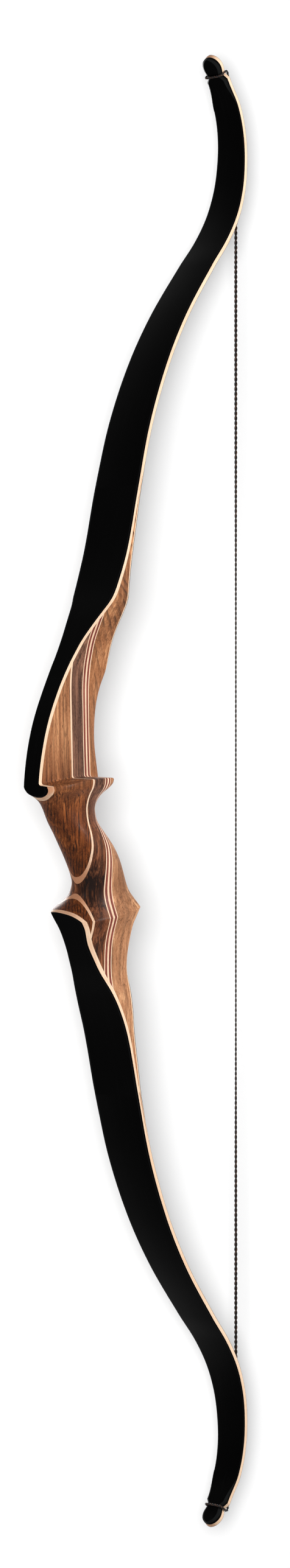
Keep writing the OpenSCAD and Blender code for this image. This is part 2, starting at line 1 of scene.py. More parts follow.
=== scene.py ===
"""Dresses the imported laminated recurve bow: carved riser, laminated limbs, tips and twisted string.

Lengths in the classes are millimetres, as in the part's source. Meshes are in metres.
+X points to the archer, -Y to the side the arrow passes on, +Z up the upper limb.
"""

import logging
import math
from dataclasses import dataclass
from enum import Enum
from functools import cached_property

import bpy
import numpy as np
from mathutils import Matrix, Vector
from mathutils.bvhtree import BVHTree
from mathutils.geometry import barycentric_transform


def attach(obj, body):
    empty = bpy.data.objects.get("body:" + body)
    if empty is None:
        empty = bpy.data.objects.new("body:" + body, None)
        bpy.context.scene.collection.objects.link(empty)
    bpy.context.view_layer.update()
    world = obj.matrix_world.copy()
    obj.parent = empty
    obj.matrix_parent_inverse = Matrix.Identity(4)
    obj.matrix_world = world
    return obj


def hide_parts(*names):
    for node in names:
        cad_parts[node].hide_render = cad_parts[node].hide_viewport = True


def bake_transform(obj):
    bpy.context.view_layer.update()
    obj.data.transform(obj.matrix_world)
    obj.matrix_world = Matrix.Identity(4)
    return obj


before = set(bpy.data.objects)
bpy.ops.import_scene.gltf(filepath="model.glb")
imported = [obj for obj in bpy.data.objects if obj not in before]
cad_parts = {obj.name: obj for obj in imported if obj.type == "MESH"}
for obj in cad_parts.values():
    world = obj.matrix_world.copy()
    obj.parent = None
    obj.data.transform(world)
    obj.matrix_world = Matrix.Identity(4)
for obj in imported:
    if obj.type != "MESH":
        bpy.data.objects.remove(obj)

LOG = logging.getLogger("bow")
MM = 0.001
GRAIN = "grain"
SHARE = "layer_share"
# Place across a glass piece's width, which sets where its eased edges get a painted highlight.
SHEEN_EDGE = "edge_sheen"
WHITE = (1.0, 1.0, 1.0, 1.0)
# Share of the way from a corner to its face's middle where the corner's shading is looked up.
INSIDE = 0.04
# Cosine above which a looked-up normal counts as the face's own.
SAME_WAY = 0.9


class Half(Enum):
    """The upper and the lower half of the bow."""

    UPPER = 1
    LOWER = -1

    @property
    def word(self) -> str:
        """Name of the half, as nodes and pieces spell it."""
        return self.name.lower()


# Curves and meshes.


class Table:
    """Smooth curve through rows whose first number is the place along the curve."""

    def __init__(self, rows: list) -> None:
        """Keeps the rows and each row's slope, taken from its two neighbours.

        Args:
            rows: Rows of numbers in rising order of their first number.
        """
        self.rows = np.array(rows, float)
        before = np.vstack([self.rows[:1], self.rows[:-1]])
        after = np.vstack([self.rows[1:], self.rows[-1:]])
        self.slopes = (after - before) / (after[:, :1] - before[:, :1])

    def at(self, place: np.ndarray) -> np.ndarray:
        """Rows at some places.

        Args:
            place: Places along the curve.

        Returns:
            One row for each place.
        """
        s = np.atleast_1d(np.asarray(place, float))
        i = np.clip(np.searchsorted(self.rows[:, 0], s, side="right") - 1, 0, len(self.rows) - 2)
        p, q = self.rows[i], self.rows[i + 1]
        h = q[:, :1] - p[:, :1]
        t = (s[:, None] - p[:, :1]) / h
        t2, t3 = t * t, t * t * t
        return ((2 * t3 - 3 * t2 + 1) * p + (t3 - 2 * t2 + t) * h * self.slopes[i]
                + (3 * t2 - 2 * t3) * q + (t3 - t2) * h * self.slopes[i + 1])


def smooth(t: np.ndarray) -> np.ndarray:
    """Ease from 0 to 1 as t goes from 0 to 1."""
    u = np.clip(t, 0, 1)
    return u * u * (3 - 2 * u)


def mix(a: float, b: float, t: float) -> float:
    """The value a share t of the way from a to b."""
    return a + (b - a) * t


def placed(name: str, data: bpy.types.ID) -> bpy.types.Object:
    """A new object, linked to the scene.

    Args:
        name: Its name.
        data: Its data.

    Returns:
        The object.
    """
    made = bpy.data.objects.new(name, data)
    bpy.context.scene.collection.objects.link(made)
    return made


def new_mesh_object(name: str, points: np.ndarray, faces: list) -> bpy.types.Object:
    """Object from points in millimetres and faces, turned so that its faces point outwards.

    Args:
        name: Name of the object and its mesh.
        points: One row of three numbers for each point.
        faces: Lists of point numbers.

    Returns:
        The object, linked to the scene.
    """
    points = np.asarray(points, float)
    volume = 0.0
    for f in faces:
        a = points[f[0]]
        for i in range(1, len(f) - 1):
            volume += float(np.dot(a, np.cross(points[f[i]], points[f[i + 1]])))
    if volume < 0:
        faces = [list(reversed(f)) for f in faces]
    mesh = bpy.data.meshes.new(name)
    mesh.from_pydata((points * MM).tolist(), [], faces)
    mesh.update()
    return placed(name, mesh)


def skin(name: str, rings: np.ndarray) -> bpy.types.Object:
    """Closed skin over rings of points.

    Args:
        name: Name of the object.
        rings: Rings of as many points each, in order.

    Returns:
        The skin as an object.
    """
    count, n = rings.shape[:2]
    faces = [[j * n + k, j * n + (k + 1) % n, (j + 1) * n + (k + 1) % n, (j + 1) * n + k]
             for j in range(count - 1) for k in range(n)]
    faces.append(list(range(n))[::-1])
    faces.append([(count - 1) * n + k for k in range(n)])
    return new_mesh_object(name, rings.reshape(-1, 3), faces)


def prism(name: str, outline: np.ndarray, reach: float = 60) -> bpy.types.Object:
    """Side view extruded across the bow.

    Args:
        name: Name of the object.
        outline: Points (x, z) of the side view.
        reach: Distance from the middle plane to each end.

    Returns:
        The solid as an object.
    """
    rings = np.array([[[x, y, z] for x, z in outline] for y in (-reach, reach)], float)
    return skin(name, rings)


def drop(*objects: bpy.types.Object) -> None:
    """Removes helper objects and their data."""
    for o in objects:
        data = o.data
        bpy.data.objects.remove(o)
        if isinstance(data, bpy.types.Mesh):
            bpy.data.meshes.remove(data)
        elif isinstance(data, bpy.types.Curve):
            bpy.data.curves.remove(data)


def evaluated_mesh(source: bpy.types.Object, name: str) -> bpy.types.Object:
    """Plain mesh object from an object with live modifiers.

    Args:
        source: The object to evaluate.
        name: Name of the new object.

    Returns:
        The new object, linked to the scene.
    """
    depsgraph = bpy.context.evaluated_depsgraph_get()
    mesh = bpy.data.meshes.new_from_object(source.evaluated_get(depsgraph), depsgraph=depsgraph)
    mesh.name = name
    return placed(name, mesh)


def common(name: str, form: bpy.types.Object, cutter: bpy.types.Object) -> bpy.types.Object:
    """What two closed forms share.

    Args:
        name: Name of the new object.
        form: The first form.
        cutter: The second form.

    Returns:
        The new object.
    """
    cut = form.modifiers.new("cut", "BOOLEAN")
    cut.operation, cut.solver, cut.object = "INTERSECT", "MANIFOLD", cutter
    made = evaluated_mesh(form, name)
    form.modifiers.remove(cut)
    return made


def crisp(piece: bpy.types.Object, crease: float) -> None:
    """Smooth shading that stays sharp above an angle in degrees."""
    piece.data.shade_smooth()
    piece.data.set_sharp_from_angle(angle=math.radians(crease))


class ShadedSource:
    """A smooth surface that cut pieces take their shading from."""

    def __init__(self, source: bpy.types.Object, crease: float = 35) -> None:
        """Reads the surface's triangles and corner normals.

        Args:
            source: The object with the smooth surface.
            crease: Angle in degrees above which an edge stays sharp.
        """
        mesh = source.data
        crisp(source, crease)
        mesh.calc_loop_triangles()
        self.points = [v.co.copy() for v in mesh.vertices]
        normals = [n.vector.copy() for n in mesh.corner_normals]
        self.corners = [tuple(t.vertices) for t in mesh.loop_triangles]
        self.normals = [tuple(normals[i] for i in t.loops) for t in mesh.loop_triangles]
        self.tree = BVHTree.FromPolygons(self.points, self.corners)

    def distance(self, point: Vector) -> float:
        """Distance from a point to the surface."""
        return self.tree.find_nearest(point)[3]

    def normal(self, point: Vector) -> Vector:
        """Smooth normal of the surface.

        Args:
            point: A point on the surface or near it.

        Returns:
            The normal at the place next to the point.
        """
        place, _, index, _ = self.tree.find_nearest(point)
        a, b, c = (self.points[i] for i in self.corners[index])
        return barycentric_transform(place, a, b, c, *self.normals[index]).normalized()


def shade_from(piece: bpy.types.Object, sources: list[ShadedSource]) -> None:
    """Gives a cut piece the smooth shading of the surfaces that it was cut from.

    Args:
        piece: The cut piece.
        sources: The surfaces. Each face follows the nearest one.
    """
    mesh = piece.data
    mesh.shade_smooth()
    normals = [Vector((0, 0, 1))] * len(mesh.loops)
    for face in mesh.polygons:
        centre = face.center
        source = min(sources, key=lambda s: s.distance(centre))
        for loop in face.loop_indices:
            corner = mesh.vertices[mesh.loops[loop].vertex_index].co
            found = source.normal(corner.lerp(centre, INSIDE))
            normals[loop] = found if found.dot(face.normal) > SAME_WAY else face.normal
    mesh.normals_split_custom_set(normals)


def stands_for(piece: bpy.types.Object, node: str, slot: str,
               finish: bpy.types.Material | None = None) -> None:
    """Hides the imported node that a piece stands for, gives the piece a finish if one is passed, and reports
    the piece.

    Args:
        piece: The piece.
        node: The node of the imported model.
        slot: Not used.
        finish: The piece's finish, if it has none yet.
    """
    if finish:
        piece.data.materials.clear()
        piece.data.materials.append(finish)
    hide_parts(node)
    LOG.info("%s: %d faces", piece.name, len(piece.data.polygons))


def store(piece: bpy.types.Object, name: str, values: np.ndarray) -> None:
    """Stores a number or a vector on each point of a piece.

    Args:
        piece: The piece.
        name: Name of the attribute.
        values: One number or one row of three numbers for each point.
    """
    kind, field_name = ("FLOAT", "value") if values.ndim == 1 else ("FLOAT_VECTOR", "vector")
    attribute = piece.data.attributes.new(name, kind, "POINT")
    attribute.data.foreach_set(field_name, values.astype(np.float32).ravel())


def coordinates(piece: bpy.types.Object) -> np.ndarray:
    """Points of a piece.

    Args:
        piece: The piece.

    Returns:
        One row (x, y, z) in millimetres for each point.
    """
    flat = np.zeros(len(piece.data.vertices) * 3)
    piece.data.vertices.foreach_get("co", flat)
    return flat.reshape(-1, 3) / MM


# The bow's lines.


@dataclass(frozen=True)
class BowLine:
    """Side view of the strung blank, as x at a height s above or below the bow's middle."""

    limb_rise: float = 430.5
    limb_sweep: float = 173.5
    limb_w: float = 45.4
    glass_t: float = 1.0
    back_core_t: float = 2.35
    riser_core_t: float = 3.3
    belly_core_t: float = 0.95
    belly_glass_t: float = 0.5
    seat_t: float = 5.8
    middle_z: float = 14.5
    root_s: float = 200.0
    root_x: float = 19.0
    taper_start_s: float = 150.0
    fade_s: float = 250.0
    wood_end_s: float = 244.0
    join_s: float = 252.0
    flex_s: float = 300.0
    nock_drop: float = 12.5
    neck_w: float = 15.0
    overlay_t: float = 3.0
    upper_back_start_s: float = -30.0
    lower_back_start_s: float = 29.0
    belly_start_s: float = 81.0
    search_start_s: float = -60.0
    search_past_tip: float = 12.0
    search_steps: int = 2800
    search_rounds: int = 6

    @property
    def limb_t(self) -> float:
        """Thickness of a limb."""
        return self.glass_t + self.back_core_t + self.belly_core_t + self.belly_glass_t

    @property
    def tip_s(self) -> float:
        """Place of the very tip."""
        return self.root_s + self.limb_rise

    @property
    def nock_s(self) -> float:
        """Place of the nocks."""
        return self.tip_s - self.nock_drop

    @cached_property
    def back(self) -> Table:
        """The outside of the back glass.

        Returns:
            x over s.
        """
        riser = [[-30, -62.5], [0, -66.5], [30, -62.5], [60, -53], [100, -32.5], [140, -12], [170, 6],
                 [self.root_s, self.root_x]]
        limb = [[0.11674, 0.08], [0.24362, 0.177], [0.36747, 0.32], [0.47202, 0.486], [0.58064, 0.707],
                [0.63647, 0.83], [0.69027, 0.92], [0.74305, 0.974], [0.79178, 0.997], [0.84355, 1],
                [0.89024, 0.978], [0.93592, 0.927], [0.97551, 0.862], [1.0151, 0.772]]
        return Table(riser + [[self.root_s + self.limb_rise * a, self.root_x + self.limb_sweep * b]
                              for a, b in limb])

    def back_x(self, s: np.ndarray) -> np.ndarray:
        """x of the back at s."""
        return self.back.at(s)[:, 1]

    def back_at(self, s: float) -> float:
        """x of the back at one s."""
        return float(self.back_x(s)[0])

    def belly_at(self, half: Half, s: float) -> float:
        """x of the belly at one s."""
        return float(self.belly_x(half, s)[0])

    def normal(self, s: np.ndarray) -> np.ndarray:
        """Unit vectors (x, s) that point from the back into the limb."""
        slope = self.back_x(np.asarray(s) + 0.5) - self.back_x(np.asarray(s) - 0.5)
        return np.stack([np.ones_like(slope), -slope], 1) / np.sqrt(1 + slope * slope)[:, None]

    def behind(self, s: np.ndarray, depth: np.ndarray) -> np.ndarray:
        """Points behind the outside of the back glass.

        Args:
            s: Place of each point.
            depth: Depth of each point, or of all.

        Returns:
            Points (x, s).
        """
        s = np.atleast_1d(np.asarray(s, float))
        deep = np.broadcast_to(np.asarray(depth, float), s.shape)
        return np.stack([self.back_x(s), s], 1) + deep[:, None] * self.normal(s)

    def core_t(self, s: np.ndarray) -> np.ndarray:
        """Thickness of the pale core behind the back glass."""
        share = smooth((np.asarray(s, float) - self.taper_start_s) / (self.fade_s - self.taper_start_s))
        return mix(self.riser_core_t, self.back_core_t, share)

    def belly(self, half: Half) -> Table:
        """The outside of the belly glass along the riser.

        Args:
            half: The half whose belly it is.

        Returns:
            x over s, from the belly's inner end out.
        """
        if half is Half.UPPER:
            rows = [[80, 25.5], [92, 22.3], [105, 20.8], [120, 20.1], [140, 20.1], [160, 21],
                    [180, 23.6], [200, 27.3]]
            wedge = [[226, 1.3], [239, 0.6], [self.fade_s, 0.1], [self.fade_s + 25, 0]]
        else:
            rows = [[80, 44], [92, 39.4], [104, 34.6], [116, 31], [130, 29.2], [145, 28.2],
                    [158, 28.2], [170, 28.4], [180, 28.6], [200, 29.4]]
            wedge = [[226, 2.2], [239, 1.15], [self.fade_s, 0.2], [self.fade_s + 25, 0]]
        for s, over in wedge:
            depth = self.glass_t + float(self.core_t(s)) + self.belly_core_t + self.belly_glass_t + over
            x, at = self.behind(s, depth)[0]
            rows.append([at, x])
        return Table(rows)

    def belly_x(self, half: Half, s: np.ndarray) -> np.ndarray:
        """x of the belly at s."""
        return self.belly(half).at(s)[:, 1]

    def inside_belly(self, half: Half, s: np.ndarray, depth: float) -> np.ndarray:
        """Points inside the riser's belly.

        Args:
            half: The half that the belly belongs to.
            s: Place of each point.
            depth: Depth of all.

        Returns:
            Points (x, s).
        """
        slope = self.belly_x(half, s + 0.5) - self.belly_x(half, s - 0.5)
        inward = np.stack([-np.ones_like(slope), slope], 1) / np.sqrt(1 + slope * slope)[:, None]
        return np.stack([self.belly_x(half, s), s], 1) + depth * inward

    def back_run(self, half: Half, depth: float, core: bool) -> np.ndarray:
        """A line behind the back, from the riser's middle out to the join.

        Args:
            half: The half.
            depth: Its depth behind the back.
            core: Whether it lies deeper by the pale core.

        Returns:
            Points (x, s).
        """
        start = self.upper_back_start_s if half is Half.UPPER else self.lower_back_start_s
        s = np.linspace(start, self.join_s, 110)
        return self.behind(s, depth + (self.core_t(s) if core else 0))

    def belly_run(self, half: Half, depth: float, joined: bool) -> np.ndarray:
        """A line inside the belly, from its inner end out to the wood's end or to the join."""
        run = self.inside_belly(half, np.linspace(self.belly_start_s, self.wood_end_s, 66), depth)
        return np.vstack([run, self.behind(self.join_s, self.limb_t - depth)]) if joined else run

    def world(self, half: Half, points: np.ndarray) -> np.ndarray:
        """Points (x, s) of one half as (x, z)."""
        return np.stack([points[:, 0], self.middle_z + half.value * points[:, 1]], 1)

    def points(self, half: Half, s: np.ndarray, depth: np.ndarray, y: np.ndarray) -> np.ndarray:
        """Points (x, y, z) from places along the back, depths behind it and y, each of one shape."""
        flat = self.world(half, self.behind(s.ravel(), depth.ravel()))
        return np.stack([flat[:, 0], y.ravel(), flat[:, 1]], 1).reshape(*s.shape, 3)

    def along(self, half: Half, points: np.ndarray) -> tuple[np.ndarray, np.ndarray]:
        """Place along the back and depth behind it.

        Args:
            half: The half that the points belong to.
            points: Points (x, y, z) in millimetres.

        Returns:
            The place s and the depth of each point.
        """
        x, up = points[:, 0], half.value * (points[:, 2] - self.middle_z)
        table = np.linspace(self.search_start_s, self.tip_s + self.search_past_tip, self.search_steps)
        line, inward = self.back_x(table), self.normal(table)
        s = up.copy()
        depth = np.zeros_like(s)
        for _ in range(self.search_rounds):
            nx, ns = np.interp(s, table, inward[:, 0]), np.interp(s, table, inward[:, 1])
            depth = (x - np.interp(s, table, line)) * nx + (up - s) * ns
            s = up - depth * ns
        return s, depth


BOW = BowLine()


def limb_space(piece: bpy.types.Object, half: Half, s: np.ndarray, depth: np.ndarray, y: np.ndarray) -> None:
    """Stores the space that follows a lamination: depth, y and the place along it, in metres."""
    store(piece, GRAIN, np.stack([depth.ravel(), y.ravel(), half.value * s.ravel()], 1) * MM)
    store(piece, SHARE, np.clip((depth - BOW.glass_t) / BOW.core_t(s), -1, 2).ravel())


def wood_space(piece: bpy.types.Object) -> None:
    """Stores the plain space of the riser's wood, in metres."""
    store(piece, GRAIN, coordinates(piece) * MM)
    store(piece, SHARE, np.full(len(piece.data.vertices), -1.0))


# Finishes.


class Value:
    """A number on its way through a node tree, which takes part in Python sums."""

    def __init__(self, graph: "Wiring", socket: bpy.types.NodeSocket) -> None:
        """Keeps the graph and the socket that the number leaves from."""
        self.graph = graph
        self.socket = socket

    def __add__(self, other: "Value | float") -> "Value":
        """Sum."""
        return self.graph.math("ADD", self, other)

    def __radd__(self, other: float) -> "Value":
        """Sum, with the number first."""
        return self.graph.math("ADD", other, self)

    def __sub__(self, other: "Value | float") -> "Value":
        """Difference."""
        return self.graph.math("SUBTRACT", self, other)

    def __rsub__(self, other: float) -> "Value":
        """Difference, with the number first."""
        return self.graph.math("SUBTRACT", other, self)

    def __mul__(self, other: "Value | float") -> "Value":
        """Product."""
        return self.graph.math("MULTIPLY", self, other)

    def __rmul__(self, other: float) -> "Value":
        """Product, with the number first."""
        return self.graph.math("MULTIPLY", other, self)

    def ramp(self, low: float, high: float) -> "Value":
        """Smooth share of the way between two values.

        Args:
            low: The value where it is 0.
            high: The value where it is 1.

        Returns:
            The share.
        """
        made = self.graph.node("ShaderNodeMapRange", {"interpolation_type": "SMOOTHSTEP"},
                               {"Value": self, "From Min": low, "From Max": high})
        return Value(self.graph, made.outputs["Result"])


class Wiring:
    """A node tree that is built by name."""

    def __init__(self, tree: bpy.types.NodeTree) -> None:
        """Takes an empty tree, or empties it."""
        self.tree = tree
        tree.nodes.clear()

    def node(self, kind: str, settings: dict, inputs: dict) -> bpy.types.Node:
        """Adds a node.

        Args:
            kind: The node's type.
            settings: Its settings, set before its sockets.
            inputs: Values or links of its sockets, by name or number.

        Returns:
            The node.
        """
        made = self.tree.nodes.new(kind)
        for key, value in settings.items():
            setattr(made, key, value)
        for key, value in inputs.items():
            link = value.socket if isinstance(value, Value) else value
            if isinstance(link, bpy.types.NodeSocket):
                self.tree.links.new(link, made.inputs[key])
            else:
                made.inputs[key].default_value = value
        return made

    def out(self, kind: str, socket: int | str = 0, **inputs: object) -> bpy.types.NodeSocket:
        """Adds a node without settings and returns one of its outputs."""
        return self.node(kind, {}, inputs).outputs[socket]

    def math(self, operation: str, a: object, b: object = 0.0) -> Value:
        """Adds a sum of two numbers and returns its result."""
        return Value(self, self.node("ShaderNodeMath", {"operation": operation}, {0: a, 1: b}).outputs[0])

    def vector(self, operation: str, *terms: object) -> bpy.types.NodeSocket:
        """Adds a sum of vectors and returns its result."""
        return self.node("ShaderNodeVectorMath", {"operation": operation}, dict(enumerate(terms))).outputs[0]

    def seen(self) -> Value:
        """Tells what a ray is for.

        Returns:
            1 for a ray from the camera, a reflection or a clear body, otherwise 0.
        """
        path = self.node("ShaderNodeLightPath", {}, {}).outputs
        near = self.math("MAXIMUM", path["Is Camera Ray"], path["Is Glossy Ray"])
        return self.math("MAXIMUM", near, path["Is Transmission Ray"])

    def either(self, share: object, a: bpy.types.NodeSocket, b: bpy.types.NodeSocket) -> bpy.types.NodeSocket:
        """Shader a where the share is 0 and b where it is 1."""
        return self.node("ShaderNodeMixShader", {}, {0: share, 1: a, 2: b}).outputs[0]


class Graph(Wiring):
    """Node tree of one material."""

    def __init__(self, name: str) -> None:
        """Starts a material without nodes.

        Args:
            name: Name of the material.
        """
        self.material = bpy.data.materials.new(name)
        self.material.use_nodes = True
        super().__init__(self.material.node_tree)

    def attribute(self, name: str, socket: str = "Vector") -> bpy.types.NodeSocket:
        """Reading of an attribute of the mesh."""
        return self.node("ShaderNodeAttribute", {"attribute_name": name}, {}).outputs[socket]

    def axis(self, vector: bpy.types.NodeSocket, letter: str) -> Value:
        """One number of a vector."""
        return Value(self, self.node("ShaderNodeSeparateXYZ", {}, {0: vector}).outputs[letter])

    def measure(self, operation: str, *terms: object) -> Value:
        """Adds a sum of vectors whose result is a number."""
        made = self.node("ShaderNodeVectorMath", {"operation": operation}, dict(enumerate(terms)))
        return Value(self, made.outputs["Value"])

    def scaled(self, vector: bpy.types.NodeSocket, scale: tuple) -> bpy.types.NodeSocket:
        """A vector times a scale for each of its three numbers."""
        return self.vector("MULTIPLY", vector, scale)

    def noise(self, vector: bpy.types.NodeSocket, scale: tuple, detail: float = 3, rough: float = 0.5,
              twist: float = 0) -> Value:
        """Soft noise.

        Args:
            vector: Where it is read.
            scale: How often it changes in a metre, along x, y and z.
            detail: How many finer layers it has.
            rough: How strong each finer layer is.
            twist: How far it is distorted.

        Returns:
            Numbers about 0.5.
        """
        return Value(self, self.out("ShaderNodeTexNoise", Vector=self.scaled(vector, scale), Scale=1.0,
                                    Detail=detail, Roughness=rough, Distortion=twist))

    def blend(self, share: "Value | float", a: "tuple | bpy.types.NodeSocket",
              b: "tuple | bpy.types.NodeSocket") -> bpy.types.NodeSocket:
        """Colour a share of the way from a to b."""
        return self.node("ShaderNodeMix", {"data_type": "RGBA"}, {0: share, 6: a, 7: b}).outputs[2]

    def finish(self, look: bpy.types.NodeSocket) -> bpy.types.Material:
        """Links a shader to the output and returns the material."""
        self.node("ShaderNodeOutputMaterial", {}, {"Surface": look})
        return self.material

    def surface(self, base: bpy.types.NodeSocket, rough: Value, relief: Value, bump: tuple,
                plain: dict) -> bpy.types.Material:
        """Finishes the material with one shader and a fine relief.

        Args:
            base: The colour.
            rough: The roughness.
            relief: Height of the relief, from 0 to 1.
            bump: Strength of the relief and its height in metres.
            plain: Sockets of the shader that are the same all over.

        Returns:
            The material.
        """
        normal = self.out("ShaderNodeBump", Strength=bump[0], Distance=bump[1], Height=relief)
        return self.finish(self.node("ShaderNodeBsdfPrincipled", {}, {
            "Base Color": base, "Roughness": rough, "Normal": normal, **plain}).outputs[0])


def colour(red: int, green: int, blue: int) -> tuple:
    """Linear colour from values of 0 to 255 as a screen shows them.

    Args:
        red: Red.
        green: Green.
        blue: Blue.

    Returns:
        The colour with full alpha.
    """
    def linear(v: float) -> float:
        """One channel."""
        v /= 255
        return v / 12.92 if v <= 0.04045 else ((v + 0.055) / 1.055) ** 2.4
    return (linear(red), linear(green), linear(blue), 1.0)


VARNISH = {"Coat Weight": 0.03, "Coat Roughness": 0.15, "Specular IOR Level": 0.07}


@dataclass(frozen=True)
class WoodFinish:
    """Oiled wood with its own tones, growth lines, ink-dark streaks and pores.

    The three tones of high hold above change_z and those of low under it, dark to pale. Lengths are in
    metres. A dark patch is its middle, its reach and its depth.
    """

    name: str
    high: tuple
    low: tuple
    ink: tuple
    line_gap: float = 0.0045
    line_lean: tuple = (1.0, 0.35, 0.02)
    line_share: float = 0.5
    low_line_share: float = 0.5
    streak_share: float = 0.6
    streak_edge: float = 0.57
    wander: float = 1.6
    change_z: tuple = (-0.012, 0.03)
    bend_z: float = 0.05
    bend: float = 0.0
    dark_patches: tuple = ()
    straight_z: float = 0.085
    vein_gap: float = 0.0024
    vein_lean: tuple = (0.6, -0.8, 0.02)
    vein_share: float = 0.0
    grit: float = 0.3
    gloss: float = 0.42

    def build(self) -> bpy.types.Material:
        """Builds the material.

        Returns:
            The material.
        """
        g = Graph(self.name)
        still = g.attribute(GRAIN)
        sway = g.out("ShaderNodeTexNoise", "Color", Vector=g.scaled(still, (42, 42, 16)), Scale=1.0,
                     Detail=2.0)
        at = g.vector("MULTIPLY_ADD", g.vector("SUBTRACT", sway, (0.5, 0.5, 0.5)), (0.006, 0.006, 0), still)
        up = g.axis(still, "Z")
        height = up.ramp(*self.change_z)
        cloud = g.noise(at, (62, 62, 9), 3, 0.55, 0.3)
        fibre = g.noise(at, (430, 430, 12), 4, 0.62)
        pepper = g.noise(still, (2600, 2600, 700), 2, 0.6)
        pore = g.noise(at, (1500, 1500, 170), 1, 0.5).ramp(0.6, 0.7)
        tone = (cloud * 0.55 + fibre * 0.45).ramp(0.39, 0.63)
        tones = [g.blend(height, low, high) for low, high in zip(self.low, self.high)]
        base = g.blend(tone, tones[0], tones[1])
        base = g.blend((cloud * 0.45 + fibre * 0.55).ramp(0.5, 0.7) * 0.85, base, tones[2])
        above = g.math("MAXIMUM", up - self.bend_z)
        past = g.math("MAXIMUM", above - self.straight_z)
        place = g.measure("DOT_PRODUCT", at, self.line_lean) + (above * above - past * past * 1.5) * self.bend
        ring = g.math("FRACT", place * (1 / self.line_gap) + g.noise(at, (34, 34, 5), 2, 0.5) * self.wander)
        strength = g.noise(at, (80, 80, 14), 2, 0.5).ramp(0.32, 0.66)
        lines = (ring.ramp(0.35, 0.9) - ring.ramp(0.93, 1.0)) * strength
        lines = lines * (height * (self.line_share - self.low_line_share) + self.low_line_share)
        base = g.blend(lines * (0.55 + pepper * 0.9), base, self.ink)
        streak = g.noise(at, (290, 290, 6), 4, 0.6, 0.2).ramp(self.streak_edge, self.streak_edge + 0.09)
        base = g.blend(streak * (0.35 + pepper) * self.streak_share, base, self.ink)
        base = g.blend(pepper.ramp(0.35, 0.7) * 0.22, base, tones[2])
        if self.vein_share:
            base = g.blend(self.veins(g, at, pepper) * (1 - height), base, self.ink)
        # Soft dark patches at listed places, darkest at their middles.
        for centre, reach, depth in self.dark_patches:
            gap = g.vector("SUBTRACT", at, centre)
            away = g.measure("LENGTH", g.scaled(gap, tuple(1 / r for r in reach)))
            patch = 1 - (away + (fibre - 0.5) * 1.6).ramp(0.25, 1.0)
            base = g.blend(patch * depth, base, self.ink)
        grit = g.noise(still, (1500, 1500, 420), 2, 0.6)
        base = g.blend(grit.ramp(0.48, 0.72) * self.grit, base, self.ink)
        base = g.blend(pore * 0.6, base, self.ink)
        relief = pepper * 0.35 + pore * -0.7 + fibre * 0.4
        return g.surface(base, self.gloss + fibre * 0.14 + pore * 0.12, relief, (0.14, 0.0002), VARNISH)

    def veins(self, g: Graph, at: bpy.types.NodeSocket, pepper: Value) -> Value:
        """Fine dark veins side by side, broken here and there.

        Args:
            g: The graph of the finish.
            at: The swaying place that the wood is read at.
            pepper: Fine noise that roughens the veins.

        Returns:
            Share of the ink at each place.
        """
        wave = g.noise(at, (95, 95, 12), 3, 0.55) * 2.4
        ring = g.math("FRACT", g.measure("DOT_PRODUCT", at, self.vein_lean) * (1 / self.vein_gap) + wave)
        strong = g.noise(at, (210, 210, 20), 3, 0.6).ramp(0.36, 0.58)
        return (ring.ramp(0.28, 0.5) - ring.ramp(0.5, 0.8)) * strong * (0.6 + pepper * 0.8) * self.vein_share


@dataclass(frozen=True)
class CoreFinish:
    """Pale lamination: cream on its cut sides, tan where it faces -X as painted shade, with a fine glue line
    in its middle.

    The trace is the last of the riser's wood between the cores: where it starts to show, where it ends in
    the upper and the lower limb, in metres along the limb, and how wide it is there as a share of the core.
    """

    name: str
    pale: tuple
    warm: tuple
    # face is the tan of painted shade, for faces that point to -X.
    face: tuple
    glue: tuple
    glue_width: float = 0.06
    glue_share: float = 0.24
    seam: tuple = colour(156, 108, 82)
    trace_start: tuple = (0.247, 0.25)
    trace_ends: tuple = (0.275, 0.31)
    trace_widths: tuple = (0.13, 0.26)

    def fade(self, g: Graph, at: bpy.types.NodeSocket, share: Value) -> Value:
        """The last of the riser's wood, which thins out between the two cores of a limb.

        Args:
            g: The graph.
            at: The lamination's own space.
            share: Place across the back core.

        Returns:
            How much of the wood shows.
        """
        up = g.axis(at, "Z")
        upper, lower = ((1 - out.ramp(self.trace_start[1], end)) * out.ramp(*self.trace_start) * width
                        for out, end, width in zip((up, up * -1), self.trace_ends, self.trace_widths))
        return ((upper + lower - g.math("ABSOLUTE", share - 1)) * 20).ramp(0, 1)

    def build(self) -> bpy.types.Material:
        """Builds the material.

        Returns:
            The material.
        """
        g = Graph(self.name)
        at = g.attribute(GRAIN)
        cloud = g.noise(at, (60, 60, 14), 3, 0.5)
        fibre = g.noise(at, (900, 900, 30), 4, 0.6)
        fleck = g.noise(at, (1800, 1800, 420), 2, 0.6)
        # Painted shade: where a face points to -X, the core blends to its darker tan face colour.
        back = (g.axis(g.out("ShaderNodeTexCoord", "Normal"), "X") * -1).ramp(0.35, 0.85)
        base = g.blend((cloud * 0.4 + fibre * 0.6).ramp(0.42, 0.7) * 0.8, self.pale, self.warm)
        base = g.blend(back * (0.8 + fibre * 0.3), base, self.face)
        base = g.blend(fleck.ramp(0.5, 0.75) * 0.22, base, self.glue)
        share = Value(g, g.attribute(SHARE, "Fac"))
        off = g.math("ABSOLUTE", share - 0.5)
        line = (1 - off.ramp(self.glue_width * 0.3, self.glue_width)) * self.glue_share
        base = g.blend(line, base, self.glue)
        base = g.blend(self.fade(g, at, share) * 0.9, base, self.seam)
        return g.surface(base, 0.36 + fibre * 0.12, fibre, (0.1, 0.0002), VARNISH)


